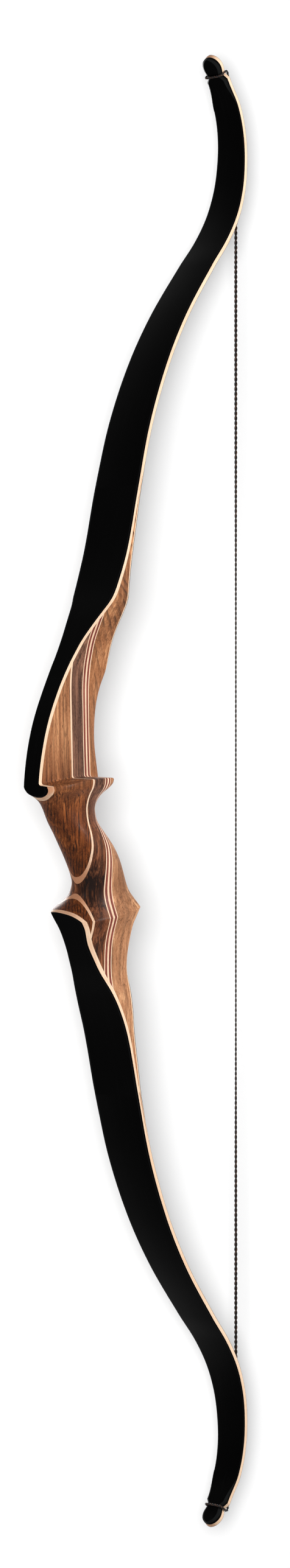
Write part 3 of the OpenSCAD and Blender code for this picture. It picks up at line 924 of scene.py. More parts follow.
@dataclass(frozen=True)
class GlassFinish:
    """Black fibreglass under a smooth finish, with grey threads and a painted grey highlight where its edges
    are eased.
    """

    name: str
    body: tuple
    # The second colour is the grey of the threads and of the painted highlight on eased edges; edge sets
    # where that highlight rises and falls across the width.
    threads_and_sheen: tuple
    edge: tuple
    specular: float
    rough: float = 0.32

    def build(self) -> bpy.types.Material:
        """Builds the material.

        Returns:
            The material.
        """
        g = Graph(self.name)
        at = g.attribute(GRAIN)
        threads = g.noise(at, (700, 1500, 14), 3, 0.6)
        smear = g.noise(at, (30, 30, 12), 3, 0.5)
        # Painted highlight: a grey band along the eased edges, where they would catch the light.
        border = g.math("ABSOLUTE", g.attribute(SHEEN_EDGE, "Fac"))
        rim = border.ramp(self.edge[0], self.edge[1]) - border.ramp(self.edge[2], self.edge[3])
        base = g.blend(threads.ramp(0.55, 0.8) * 0.22, self.body, self.threads_and_sheen)
        base = g.blend(rim * (0.5 + threads * 0.5), base, self.threads_and_sheen)
        return g.surface(base, self.rough + smear * 0.14, threads, (0.04, 0.0001),
                         {"Specular IOR Level": self.specular})


@dataclass(frozen=True)
class CordFinish:
    """Waxed filaments that run round a ply."""

    name: str
    body: tuple
    shine: tuple

    def build(self) -> bpy.types.Material:
        """Builds the material.

        Returns:
            The material.
        """
        g = Graph(self.name)
        at = g.out("ShaderNodeTexCoord", "Object")
        fuzz = g.noise(at, (2400, 2400, 700), 3, 0.6)
        cloud = g.noise(at, (120, 120, 60), 2, 0.5)
        base = g.blend((fuzz * 0.7 + cloud * 0.3).ramp(0.4, 0.75), self.body, self.shine)
        return g.surface(base, 0.55 + cloud * 0.15, fuzz, (0.35, 0.0003), {"Specular IOR Level": 0.25})


@dataclass(frozen=True)
class SettingFinish:
    """Pale matt surface of the setting, which shows as plain white and keeps the bow's shadow."""

    name: str
    glow: float
    rise: float = 0.0
    one_sided: bool = False

    def build(self) -> bpy.types.Material:
        """Builds the material.

        Returns:
            The material.
        """
        g = Graph(self.name)
        at = g.out("ShaderNodeTexCoord", "Object")
        tone = g.blend(g.noise(at, (9, 9, 9), 2, 0.5) * 0.1, (0.8, 0.8, 0.8, 1.0), (0.76, 0.76, 0.76, 1.0))
        plain = g.out("ShaderNodeBsdfDiffuse", Color=tone)
        height = g.axis(at, "Z")
        light = g.out("ShaderNodeEmission", Color=WHITE, Strength=height * height * self.rise + self.glow)
        both = g.node("ShaderNodeAddShader", {}, {0: plain, 1: light}).outputs[0]
        look = g.either(g.seen(), plain, both)
        if self.one_sided:
            clear = g.out("ShaderNodeBsdfTransparent")
            look = g.either(g.out("ShaderNodeNewGeometry", "Backfacing"), look, clear)
        return g.finish(look)


@dataclass
class Finishes:
    """Every finish of the bow, each built once."""

    def __post_init__(self) -> None:
        """Builds the materials."""
        self.front = WoodFinish(
            "front_wood",
            high=(colour(138, 84, 52), colour(181, 122, 82), colour(212, 156, 110)),
            low=(colour(76, 33, 12), colour(134, 70, 32), colour(184, 108, 58)), ink=colour(30, 14, 8),
            line_gap=0.0046, line_lean=(1.0, 0.5, 0.03), line_share=0.5, streak_share=0.8,
            change_z=(-0.012, 0.07), vein_share=1.15,
            dark_patches=(((-0.03, -0.018, -0.088), (0.02, 0.02, 0.02), 0.3),)).build()
        self.middle = WoodFinish(
            "middle_wood",
            high=(colour(80, 53, 43), colour(134, 92, 72), colour(168, 120, 94)),
            low=(colour(76, 38, 20), colour(134, 80, 52), colour(172, 110, 76)), ink=colour(26, 13, 9),
            line_gap=0.0085, line_lean=(0.8, 0.6, 0.12), line_share=0.7, streak_share=1.0, streak_edge=0.51,
            dark_patches=(((-0.017, -0.016, -0.062), (0.02, 0.02, 0.028), 1.0),
                   ((-0.012, -0.016, -0.12), (0.004, 0.008, 0.02), 0.8))).build()
        self.rear = WoodFinish(
            "rear_wood",
            high=(colour(134, 82, 50), colour(182, 122, 82), colour(216, 158, 110)),
            low=(colour(154, 101, 68), colour(202, 144, 104), colour(230, 180, 134)), ink=colour(46, 25, 18),
            line_gap=0.0095, low_line_share=0.35, line_lean=(1.0, 0.3, 0.1), line_share=0.9, streak_share=0.4,
            streak_edge=0.6, wander=2.0, bend_z=0.07, bend=7.0,
            dark_patches=(((0.0055, -0.018, -0.127), (0.002, 0.02, 0.026), 0.9),
                   ((0.02, -0.02, -0.05), (0.03, 0.03, 0.04), 0.34),
                   ((0.03, -0.02, 0.165), (0.03, 0.03, 0.045), 0.4))).build()
        reds = (colour(112, 52, 42), colour(136, 66, 54), colour(156, 88, 72))
        self.red = WoodFinish("red_wood", reds, reds, colour(84, 38, 32), line_gap=0.004, line_share=0.2,
                              streak_share=0.3).build()
        # The third colour of each core is the tan of painted shade on faces that point to -X.
        self.pale = CoreFinish(
            "pale_wood", colour(242, 212, 182), colour(226, 184, 148), colour(204, 142, 104),
            colour(160, 112, 82)).build()
        self.line = CoreFinish(
            "line_wood", colour(236, 204, 174), colour(206, 160, 126), colour(204, 142, 104),
            colour(150, 100, 74), glue_share=0.0).build()
        # The second colour of each glass is the grey of its threads and of the painted highlight on eased
        # edges.
        self.glass = GlassFinish(
            "black_glass", colour(2, 2, 2), colour(30, 30, 31), (0.925, 0.945, 0.955, 0.975), 0.012).build()
        self.tip = GlassFinish(
            "tip_black", colour(2, 2, 2), colour(31, 32, 32), (0.5, 0.9, 1.5, 2.0), 0.012, 0.3).build()
        self.cord_black = CordFinish("cord_black", colour(14, 13, 13), colour(44, 41, 40)).build()
        self.cord_brown = CordFinish("cord_brown", colour(40, 26, 20), colour(96, 66, 50)).build()


# The carved riser.


@dataclass
class RiserForm:
    """The carved outline of the riser, as stations from the top down.

    A station's numbers are z, the front's and the belly's x, the middle's x and y, the left and the right
    side's y, and how square the ring is at its left, its right and its belly side.
    """

    shelf_z: float = 26.5
    window_y: float = 0.6
    shelf_reach: float = 21.8
    window_back_y: float = 16.2
    shelf_fillet: float = 2.0
    shelf_edge_r: float = 1.2
    grip_left: float = 20.8
    grip_right: float = 14.0
    flare_left: float = 26.0
    flare_right: float = 22.0
    waist_y: float = 16.6
    ridge_z: float = -81.0
    ridge_lean: tuple = (0.23, 0.3)
    ridge_spread: tuple = (32.0, 44.0)
    shelf_high_x: float = 4.0
    crown_h: float = 24.0
    crown_ahead: float = 0.0015
    crown_behind: float = 0.025
    crown_side: float = 0.045
    ring_points: int = 96
    reach_s: float = 262.0

    def up_row(self, s: float, over: float, mid_x: float, mid_y: float, left: float, right: float,
               belly: float) -> list:
        """Station of the upper riser at s, which stands proud of the blank by over."""
        return [BOW.middle_z + s, BOW.back_at(s) - over - 1,
                BOW.belly_at(Half.UPPER, s) + over, mid_x, mid_y, left, right, 12, 12, belly]

    def down_row(self, s: float, over: float, mid_x: float, left: float, right: float, front: float,
                 belly: float) -> list:
        """Station of the lower riser at s, which stands proud of the blank by over."""
        return [BOW.middle_z - s, BOW.back_at(s) - 5,
                BOW.belly_at(Half.LOWER, s) + over, mid_x, 0, left, right, front, front, belly]

    def window_row(self, s: float, belly: float, mid_x: float, nb: float, left: float, right: float) -> list:
        """Station beside the sight window."""
        return [BOW.middle_z + s, BOW.back_at(s) - 3, belly, mid_x, 6, left, right, 12, 12, nb]

    @property
    def ridge_row(self) -> list:
        """Station at the ridge under the grip."""
        return [self.ridge_z, -36.5, 37, 20, 0, -self.flare_left, self.flare_right, 2, 4, 6.4]

    @cached_property
    def upper(self) -> Table:
        """Stations from the upper limb down to the shelf.

        Returns:
            The ring's numbers over -z.
        """
        half_w = BOW.limb_w / 2
        wy, wb = self.window_y, self.window_back_y
        rows = [
            self.up_row(310, 8, 55, 0, -half_w * 0.966, half_w * 0.966, 12),
            self.up_row(280, 8, 46, 0, -half_w * 0.984, half_w * 0.984, 12),
            self.up_row(250, 8, 37, 0, -half_w, half_w, 12),
            self.up_row(215, 8, 27, 0, -half_w, half_w, 12),
            self.up_row(190, 8, 20, 0, -half_w, half_w - 0.6, 12),
            self.up_row(172, 8, 13, 0, -half_w, half_w - 2, 12),
            self.up_row(160, 7, 8, 0, -half_w, half_w - 3.8, 10),
            self.up_row(154, 6, 5, 0.5, -21.4, 17.2, 10),
            self.up_row(147, 5, 2, 1.2, -18.3, 16, 9),
            self.up_row(135, 4, -3, 2.4, -12.4, 15, 7),
            self.up_row(123, 3, -8, 4, -6.9, 14.6, 8),
            self.up_row(111, 1.6, -12, 5.4, -3.4, 15, 8),
            self.window_row(101, 21.2, -16, 7, -1.2, 15.8),
            self.window_row(88, 17.2, -20, 3.8, wy - 0.3, wb),
            self.window_row(75, 12.8, -24, 3.2, wy, wb),
            self.window_row(63, 10.4, -26, 3.2, wy, wb),
            self.window_row(51, 9.4, -27, 3.2, wy, wb),
            self.window_row(39, 9.8, -28, 3.2, wy, wb),
            self.window_row(27, 11.6, -28, 3.4, wy, wb),
            [self.shelf_z, BOW.back_at(12) - 3, 14, -28, 6, wy, wb, 12, 12, 4.4],
        ]
        return Table([[-r[0], *r] for r in rows])

    @cached_property
    def grip(self) -> Table:
        """Stations from the shelf down to the ridge under the grip.

        Returns:
            The ring's numbers over -z.
        """
        gl, gr, reach = self.grip_left, self.grip_right, self.shelf_reach
        rows = [
            [self.shelf_z, BOW.back_at(12) - 3, 14, -28, 6, -reach, self.window_back_y, 2.5, 12, 4.4],
            [self.shelf_z - 4, BOW.back_at(8) - 3, 13.2, -28, 5, -reach + 0.2, self.window_back_y,
             2.5, 6, 4.2],
            [18, -68.4, 9.8, -27, 3, -20.2, 15.8, 2.4, 4, 3.6],
            [14, -66.6, 5.8, -26, 1, -18, 15.6, 2.3, 3, 2.8],
            [10, -63.9, 3, -26, 0, -16.2, 15.4, 2.2, 2.5, 2.3],
            [6, -60.0, 1, -26, 0, -15, 15.2, 2.2, 2.3, 2.1],
            [0, -55, 0, -26, 0, -14, 15, 2.2, 2.3, 2],
            [-10, -49, 3, -24, -0.5, -15, 14.6, 2.2, 2.3, 1.9],
            [-20, -42.2, 11, -18, -1.5, -18, gr + 0.4, 2.1, 2.2, 1.9],
            [-30, -36.2, 19, -11, -2, -gl + 0.4, gr + 0.2, 2.1, 2.1, 2],
            [-40, -30, 25, -5, -2, -gl, gr, 2.1, 2, 2.2],
            [-50, -24, 29, -1, -2, -gl + 0.6, gr - 0.4, 2.1, 2, 2.5],
            [-58, -19.8, 31, 3, -1, -gl + 1.4, gr, 2.2, 2, 3],
            [-64, -18.5, 32.5, 6, 0, -gl + 1.4, gr + 1.8, 2.1, 2.1, 3.4],
            [-70, -21, 34, 9, 0, -gl + 0.2, 17.6, 2.1, 2.3, 3.8],
            [-76, -28, 35.6, 14, 0, -self.flare_left + 2.7, 20.2, 2.1, 2.8, 5],
            self.ridge_row,
        ]
        return Table([[-r[0], *r] for r in rows])

    @cached_property
    def lower(self) -> Table:
        """Stations from the ridge down to the lower limb.

        Returns:
            The ring's numbers over -z.
        """
        half_w, waist = BOW.limb_w / 2, self.waist_y
        rows = [
            self.ridge_row,
            [-88, -36, 35.9, 16, 0, -23.6, 19.2, 2, 3.2, 6.6],
            [-96, BOW.back_at(111) - 5, 33.6, 12, 0, -21, 17.6, 2.1, 2.8, 7],
            [-108, BOW.back_at(123) - 4.6, 31.6, 10, 0, -waist - 2, waist, 2.3, 2.8, 7.4],
            self.down_row(137, 2, 9, -waist - 0.6, waist, 2.8, 6),
            self.down_row(151, 3, 11, -waist - 0.6, waist + 0.6, 3.6, 6),
            self.down_row(165, 5, 16, -half_w + 3.2, half_w - 3.2, 6, 8),
            self.down_row(179, 7, 20, -half_w + 1.4, half_w - 1.4, 10, 10),
            self.down_row(195, 8, 24, -half_w + 0.4, half_w - 0.4, 12, 12),
            self.down_row(215, 8, 29, -half_w, half_w, 12, 12),
            self.down_row(250, 8, 37, -half_w, half_w, 12, 12),
            self.down_row(280, 8, 46, -half_w * 0.984, half_w * 0.984, 12, 12),
            self.down_row(310, 8, 55, -half_w * 0.966, half_w * 0.966, 12, 12),
        ]
        return Table([[-r[0], *r] for r in rows])

    def ring(self, row: np.ndarray) -> np.ndarray:
        """One closed ring of a station, before the shelf and the ridge lift it.

        Args:
            row: The station's row.

        Returns:
            Points (x, y, z).
        """
        z, front_x, belly_x, mid_x, mid_y, left_y, right_y, left_n, right_n, belly_n = row
        a = math.tau * (np.arange(self.ring_points) + 0.5) / self.ring_points
        c, s = np.cos(a), np.sin(a)
        n = np.where(c > 0, belly_n, np.where(s < 0, left_n, right_n))
        x = mid_x + np.where(c > 0, belly_x - mid_x, mid_x - front_x) * np.sign(c) * np.abs(c) ** (2 / n)
        y = mid_y + np.where(s > 0, right_y - mid_y, mid_y - left_y) * np.sign(s) * np.abs(s) ** (2 / n)
        return np.stack([x, y, np.full_like(x, z)], 1)

    def lifted(self, rings: np.ndarray) -> np.ndarray:
        """Rings with the lean of the ridge and the crown of the shelf.

        Args:
            rings: Rings of points (x, y, z).

        Returns:
            The same rings with other z.
        """
        x, y, z = rings[..., 0], rings[..., 1], rings[..., 2]
        over = z - self.ridge_z
        ridge = smooth(1 - np.where(over > 0, over / self.ridge_spread[0], -over / self.ridge_spread[1]))
        shelf = smooth(1 - np.abs(z - self.shelf_z) / self.crown_h)
        crown = np.where(x < self.shelf_high_x, self.crown_ahead, self.crown_behind)
        fall = crown * (x - self.shelf_high_x) ** 2
        side = self.crown_side * np.maximum(-y, 0) * np.where(x < -30, 1 - 0.05 * (x + 30), 1)
        raised = ridge * (self.ridge_lean[0] * x + self.ridge_lean[1] * y) - shelf * (fall + side)
        return np.stack([x, y, z + raised], -1)

    def rings(self) -> np.ndarray:
        """All rings of the riser from the top down.

        Returns:
            Points (x, y, z) of each ring.
        """
        def stations(table: Table, high: float, low: float, count: int) -> list:
            """Rings at even heights."""
            return [self.ring(r[1:]) for r in table.at(-np.linspace(high, low, count))]

        def moved(row: np.ndarray, z: float, left: float) -> np.ndarray:
            """Ring of a row at another height and with another left side."""
            return self.ring(np.array([z, *row[1:5], left, *row[6:]]))

        top, fillet, edge = self.shelf_z, self.shelf_fillet, self.shelf_edge_r
        window_low = self.upper.at(-(top + fillet))[0][1:]
        shelf_row = self.grip.at(-top)[0][1:]
        hollow = [moved(window_low, top + fillet * (1 - math.sin(a)),
                        self.window_y - fillet * (1 - math.cos(a)))
                  for a in np.radians(np.linspace(0, 88, 10))]
        rim = [moved(shelf_row, top - edge * (1 - math.cos(a)), -self.shelf_reach + edge * (1 - math.sin(a)))
               for a in np.radians(np.linspace(2, 90, 12))]
        shelf_top = [mix(hollow[-1], rim[0], t) for t in np.linspace(0, 1, 14)[1:-1]]
        found = (stations(self.upper, BOW.middle_z + self.reach_s, top + fillet + 1, 130)
                 + hollow + shelf_top + rim
                 + stations(self.grip, top - edge - 0.5, top - 13, 24)
                 + stations(self.grip, top - 14, self.ridge_z, 62)
                 + stations(self.lower, self.ridge_z - 1.5, BOW.middle_z - self.reach_s, 96))
        return self.lifted(np.array(found))


@dataclass
class Riser:
    """Wood blocks, strips and the laminations that run along the riser."""

    finishes: Finishes
    accent_x: float = -22.2
    accent_t: float = 1.9
    stripe_x: float = -2.9
    stripe_edge_t: float = 1.05
    stripe_red_t: float = 2.3
    stripe_mid_t: float = 2.0
    lean: float = 1.9
    hollow_z: float = -65.0
    reach_x: float = 120.0
    reach_z: float = 280.0
    rear_reach_z: float = 320.0
    throat_x: float = 80.0
    throat_h: float = 60.0

    def slab(self, low_x: float, high_x: float, low_z: float, high_z: float) -> bpy.types.Object:
        """A flat leaning layer of the glued-up block.

        Args:
            low_x: x of its front.
            high_x: x of its rear.
            low_z: z of its lower end.
            high_z: z of its upper end.

        Returns:
            The layer, as wide as any piece needs.
        """
        c, s = math.cos(math.radians(self.lean)), math.sin(math.radians(self.lean))
        corners = [(low_x, low_z), (high_x, low_z), (high_x, high_z), (low_x, high_z)]
        return prism("slab", np.array([(x * c - z * s, x * s + z * c) for x, z in corners]))

    def wood_outline(self) -> np.ndarray:
        """Side view of all the wood between the laminations.

        Returns:
            Points (x, z).
        """
        def half(side: Half) -> list:
            """Back and belly lines of one half, in (x, z)."""
            deep = BOW.belly_glass_t + BOW.belly_core_t
            return [BOW.world(side, line) for line in (BOW.back_run(side, BOW.glass_t, True),
                                                       BOW.belly_run(side, deep, False))]

        up_back, up_belly = half(Half.UPPER)
        low_back, low_belly = half(Half.LOWER)
        low_back = low_back[low_back[:, 1] < up_back[0, 1] - 0.2]
        inner = np.array([[self.throat_x, BOW.middle_z + self.throat_h],
                          [self.throat_x, BOW.middle_z - self.throat_h]])
        return np.vstack([low_back[::-1], up_back, up_belly[::-1], inner, low_belly])

    def blocks(self) -> list:
        """The wood pieces.

        Returns:
            Name, node, finish, slot, x limits and z limits of each one.
        """
        f = self.finishes
        a0, a1 = self.accent_x - self.accent_t / 2, self.accent_x + self.accent_t / 2
        edge, red, mid = self.stripe_edge_t, self.stripe_red_t, self.stripe_mid_t
        s0 = self.stripe_x - (2 * edge + 2 * red + mid) / 2
        s1, s2, s3 = s0 + edge, s0 + edge + red, s0 + edge + red + mid
        s4, s5 = s3 + red, s3 + red + edge
        wide, cut, top, tall = self.reach_x, self.hollow_z, self.reach_z, self.rear_reach_z
        return [
            ("front_wood_upper", "riser_front_block_upper", f.front, "front_wood", -wide, a0, cut, top),
            ("front_wood_lower", "riser_front_block_lower", f.front, "front_wood", -wide, a0, -top, cut),
            ("accent_line_upper", "accent_strip_upper", f.line, "pale_wood", a0, a1, cut, top),
            ("accent_line_lower", "accent_strip_lower", f.line, "pale_wood", a0, a1, -top, cut),
            ("middle_wood", "riser_middle_block", f.middle, "middle_wood", a1, s0, -top, top),
            ("front_pale_line", "stripe_front_pale", f.line, "pale_wood", s0, s1, -top, top),
            ("front_red_line", "stripe_front_red", f.red, "red_wood", s1, s2, -top, top),
            ("centre_pale_line", "stripe_centre_pale", f.line, "pale_wood", s2, s3, -top, top),
            ("rear_red_line", "stripe_rear_red", f.red, "red_wood", s3, s4, -top, top),
            ("rear_pale_line_upper", "stripe_rear_pale_upper", f.line, "pale_wood", s4, s5, 0, top),
            ("rear_pale_line_lower", "stripe_rear_pale_lower", f.line, "pale_wood", s4, s5, -top, 0),
            ("rear_wood_upper", "riser_rear_block_upper", f.rear, "rear_wood", s5, wide, 0, tall),
            ("rear_wood_lower", "riser_rear_block_lower", f.rear, "rear_wood", s5, wide, -tall, 0),
        ]

    def build(self) -> None:
        """Carves the blocks and the laminations out of one form."""
        form = skin("riser_form", RiserForm().rings())
        shading = ShadedSource(form)
        outline = prism("wood_outline", self.wood_outline())
        wood = common("wood", form, outline)
        for name, node, finish, slot, low_x, high_x, low_z, high_z in self.blocks():
            cutter = self.slab(low_x, high_x, low_z, high_z)
            piece = common(name, wood, cutter)
            shade_from(piece, [shading, ShadedSource(cutter), ShadedSource(outline)])
            wood_space(piece)
            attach(piece, "riser")
            stands_for(piece, node, slot, finish)
            drop(cutter)
        for half in Half:
            self.laminations(half, form, shading)
        drop(wood, outline, form)

    def laminations(self, half: Half, form: bpy.types.Object, shading: ShadedSource) -> None:
        """The four laminations of one half, from the riser out to where the limb's own begin.

        Args:
            half: The half.
            form: The carved form that they are cut from.
            shading: Its surface.
        """
        glass, thin, f = BOW.glass_t, BOW.belly_glass_t, self.finishes
        backs = [BOW.back_run(half, *line) for line in ((0, False), (glass, False), (glass, True))]
        bellies = [BOW.belly_run(half, depth, True) for depth in (thin + BOW.belly_core_t, thin, 0)]
        layers = [("back_glass", f.glass, "black_glass", *backs[:2]),
                  ("back_core", f.pale, "pale_wood", *backs[1:]),
                  ("belly_core", f.pale, "pale_wood", *bellies[:2]),
                  ("belly_glass", f.glass, "black_glass", *bellies[1:])]
        for word, finish, slot, outer, inner in layers:
            band = prism("band", BOW.world(half, np.vstack([outer, inner[::-1]])))
            piece = common(f"riser_{word}_{half.word}", form, band)
            shade_from(piece, [shading, ShadedSource(band)])
            points = coordinates(piece)
            limb_space(piece, half, *BOW.along(half, points), points[:, 1])
            # Root glass lies past the band of the painted edge highlight, so it gets none.
            store(piece, SHEEN_EDGE, np.sign(points[:, 1]))
            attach(piece, "riser")
            stands_for(piece, f"{half.word}_root_{word}", slot, finish)
            drop(band)


# Limbs and tips.


@dataclass
class Limb:
    """One limb past the riser: four bent laminations and the overlay on its tip."""

    finishes: Finishes
    half: Half
    shoulder_w: float = 20.8
    bulb_w: float = 17.6
    nock_r: float = 2.2
    shoulder_drop: float = 4.5
    shoulder_in: float = 26.0
    shoulder_run: float = 20.0
    neck_share: float = 0.27
    round_share: float = 0.58
    ring_gap: float = 2.4
    overlay_h: float = 39.5
    edge_r: float = 0.45
    bend_reach: float = 46.0

    @cached_property
    def plan(self) -> Table:
        """Half width as a share of the widest, over shares of the limb's rise."""
        return Table([[-0.10151, 1], [0.10151, 1], [0.22332, 0.973], [0.34513, 0.925], [0.46492, 0.858],
                      [0.58064, 0.795], [0.69636, 0.73], [0.81208, 0.64], [0.90547, 0.57], [0.96942, 0.535]])

    @property
    def round_h(self) -> float:
        """Height of the rounded end."""
        return BOW.nock_drop * self.round_share

    @property
    def corners(self) -> tuple[float, float, float]:
        """Where the tip's plan turns.

        Returns:
            Place of the shoulders' corners, place of the neck, and how far a groove reaches along s.
        """
        lean = float(BOW.normal(np.array([BOW.nock_s]))[0, 0])
        drop_s = self.shoulder_drop
        return BOW.nock_s - drop_s, BOW.nock_s - drop_s * self.neck_share, self.nock_r * lean

    def half_width(self, s: np.ndarray) -> np.ndarray:
        """Half width of the limb, with its shoulders, nocks and rounded end.

        Args:
            s: Places along the limb.

        Returns:
            The half width at each place.
        """
        shoulder_s, neck_s, reach = self.corners
        share = self.plan.at((s - BOW.root_s) / BOW.limb_rise)[:, 1]
        shoulder = smooth((s - BOW.nock_s + self.shoulder_in) / self.shoulder_run)
        body = mix(BOW.limb_w / 2 * share, self.shoulder_w / 2, shoulder)
        slope = mix(self.shoulder_w, BOW.neck_w, (s - shoulder_s) / (neck_s - shoulder_s)) / 2
        round_s = BOW.tip_s - self.round_h
        swell = mix(BOW.neck_w, self.bulb_w, smooth((s - neck_s) / (round_s - neck_s))) / 2
        w = np.where(s < shoulder_s, body, np.where(s < neck_s, slope, swell))
        over = np.clip((s - round_s) / self.round_h, 0, 1)
        w = w * np.sqrt(np.maximum(1 - over * over, 0.0016))
        off = (s - BOW.nock_s) / reach
        groove = BOW.neck_w / 2 + self.nock_r * (1 - np.sqrt(np.maximum(1 - off * off, 0)))
        return np.where(np.abs(off) < 1, np.minimum(w, groove), w)

    def marks(self, start: float) -> np.ndarray:
        """Places of the rings, closer together at the nocks and the end.

        Args:
            start: The first place.

        Returns:
            Places from the first one out to the tip.
        """
        nock, tip = BOW.nock_s, BOW.tip_s
        shoulder_s, _, reach = self.corners
        runs = [np.linspace(start, nock - 14, max(int((nock - 14 - start) / self.ring_gap), 6)),
                np.linspace(nock - 13, shoulder_s - 0.12, 10), [shoulder_s + 0.12],
                np.linspace(shoulder_s + 0.7, nock - reach - 0.1, 4),
                np.linspace(nock - reach, nock + reach, 19),
                np.linspace(nock + reach + 0.3, tip - self.round_h, 8)[:-1],
                tip - self.round_h + self.round_h * np.sin(np.radians(np.linspace(0, 88, 18)))]
        return np.concatenate(runs)

    def layer(self, name: str, low: float, high: float) -> bpy.types.Object:
        """One lamination as a skin over rings with eased outer corners.

        Args:
            name: Name of the piece.
            low: Depth of its outer face behind the back.
            high: Depth of its inner face.

        Returns:
            The piece.
        """
        s = self.marks(BOW.join_s)
        w = self.half_width(s)
        ease = self.edge_r * smooth((s - BOW.join_s - 2) / 25) * smooth(w / 3)
        turn = np.radians([0, 30, 60, 90])
        round_off = [(w - ease * (1 - math.sin(a)), ease * (1 - math.cos(a))) for a in turn]
        right = round_off if low == 0 else [(w, low)]
        right = right + ([(y, high - d) for y, d in round_off[::-1]] if high == BOW.limb_t else [(w, high)])
        piece, y = self.rings(name, s, right + [(-y, d) for y, d in right[::-1]], 40)
        # Share of the half width, which places the painted highlight on the eased edges.
        store(piece, SHEEN_EDGE, (y / np.maximum(w, 0.5)[:, None]).ravel())
        return piece

    def rings(self, name: str, s: np.ndarray, section: list,
              crease: float) -> tuple[bpy.types.Object, np.ndarray]:
        """A skin over rings, with the space that follows the limb.

        Args:
            name: Name of the piece.
            s: Place of each ring.
            section: The ring's corners as y and depth, each a number for every ring.
            crease: Angle in degrees above which an edge stays sharp.

        Returns:
            The piece, and y of its points.
        """
        place = np.repeat(s[:, None], len(section), 1)
        y = np.stack([corner[0] for corner in section], 1)
        depth = np.stack([np.broadcast_to(corner[1], s.shape) for corner in section], 1)
        piece = skin(name, BOW.points(self.half, place, depth, y))
        crisp(piece, crease)
        limb_space(piece, self.half, place, depth, y)
        return piece, y

    def overlay(self) -> bpy.types.Object:
        """The black overlay on the back of the tip, with wide bevels.

        Returns:
            The piece.
        """
        start = BOW.tip_s - self.overlay_h
        s = self.marks(start)
        w = self.half_width(s)
        t = BOW.overlay_t * smooth((s - start) / (self.overlay_h - BOW.nock_drop) + 0.06)
        cut = np.minimum(t * 0.8, w * 0.8)
        # The third number of each row marks the bevels, which get the painted highlight.
        rows = [(w, 0.0, 0.0), (w, -t * 0.35, 0.35), (w - cut * 0.06, -t * 0.42, 1.0),
                (w - cut * 0.9, -t * 0.95, 1.0), (w - cut * 1.02, -t, 0.35), ((w - cut) * 0.4, -t, 0.0)]
        section = rows + [(-y, d, e) for y, d, e in rows[::-1]]
        piece, _ = self.rings(f"tip_overlay_{self.half.word}", s, section, 18)
        store(piece, SHEEN_EDGE, np.tile([e for _, _, e in section], len(s)))
        return piece

    def build(self) -> None:
        """Builds and dresses the limb."""
        word, f, reach = self.half.word, self.finishes, self.bend_reach
        ends = [BOW.world(self.half, BOW.behind(BOW.flex_s + d, BOW.limb_t / 2))[0] * MM
                for d in (-reach, reach)]
        start, end = ((x, 0, z) for x, z in ends)
        layers = [("back_glass", BOW.glass_t, "black_glass", f.glass),
                  ("back_core", BOW.back_core_t, "pale_wood", f.pale),
                  ("belly_core", BOW.belly_core_t, "pale_wood", f.pale),
                  ("belly_glass", BOW.belly_glass_t, "black_glass", f.glass)]
        depth = 0.0
        for name, thickness, slot, finish in layers:
            piece = self.layer(f"limb_{name}_{word}", depth, depth + thickness)
            depth += thickness
            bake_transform(piece)
            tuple(start)
            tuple(end)
            stands_for(piece, f"{word}_limb_{name}", slot, finish)
        tip = self.overlay()
        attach(tip, f"{word}_limb")
        stands_for(tip, f"{word}_tip_overlay", "tip_black", f.tip)


# The string.


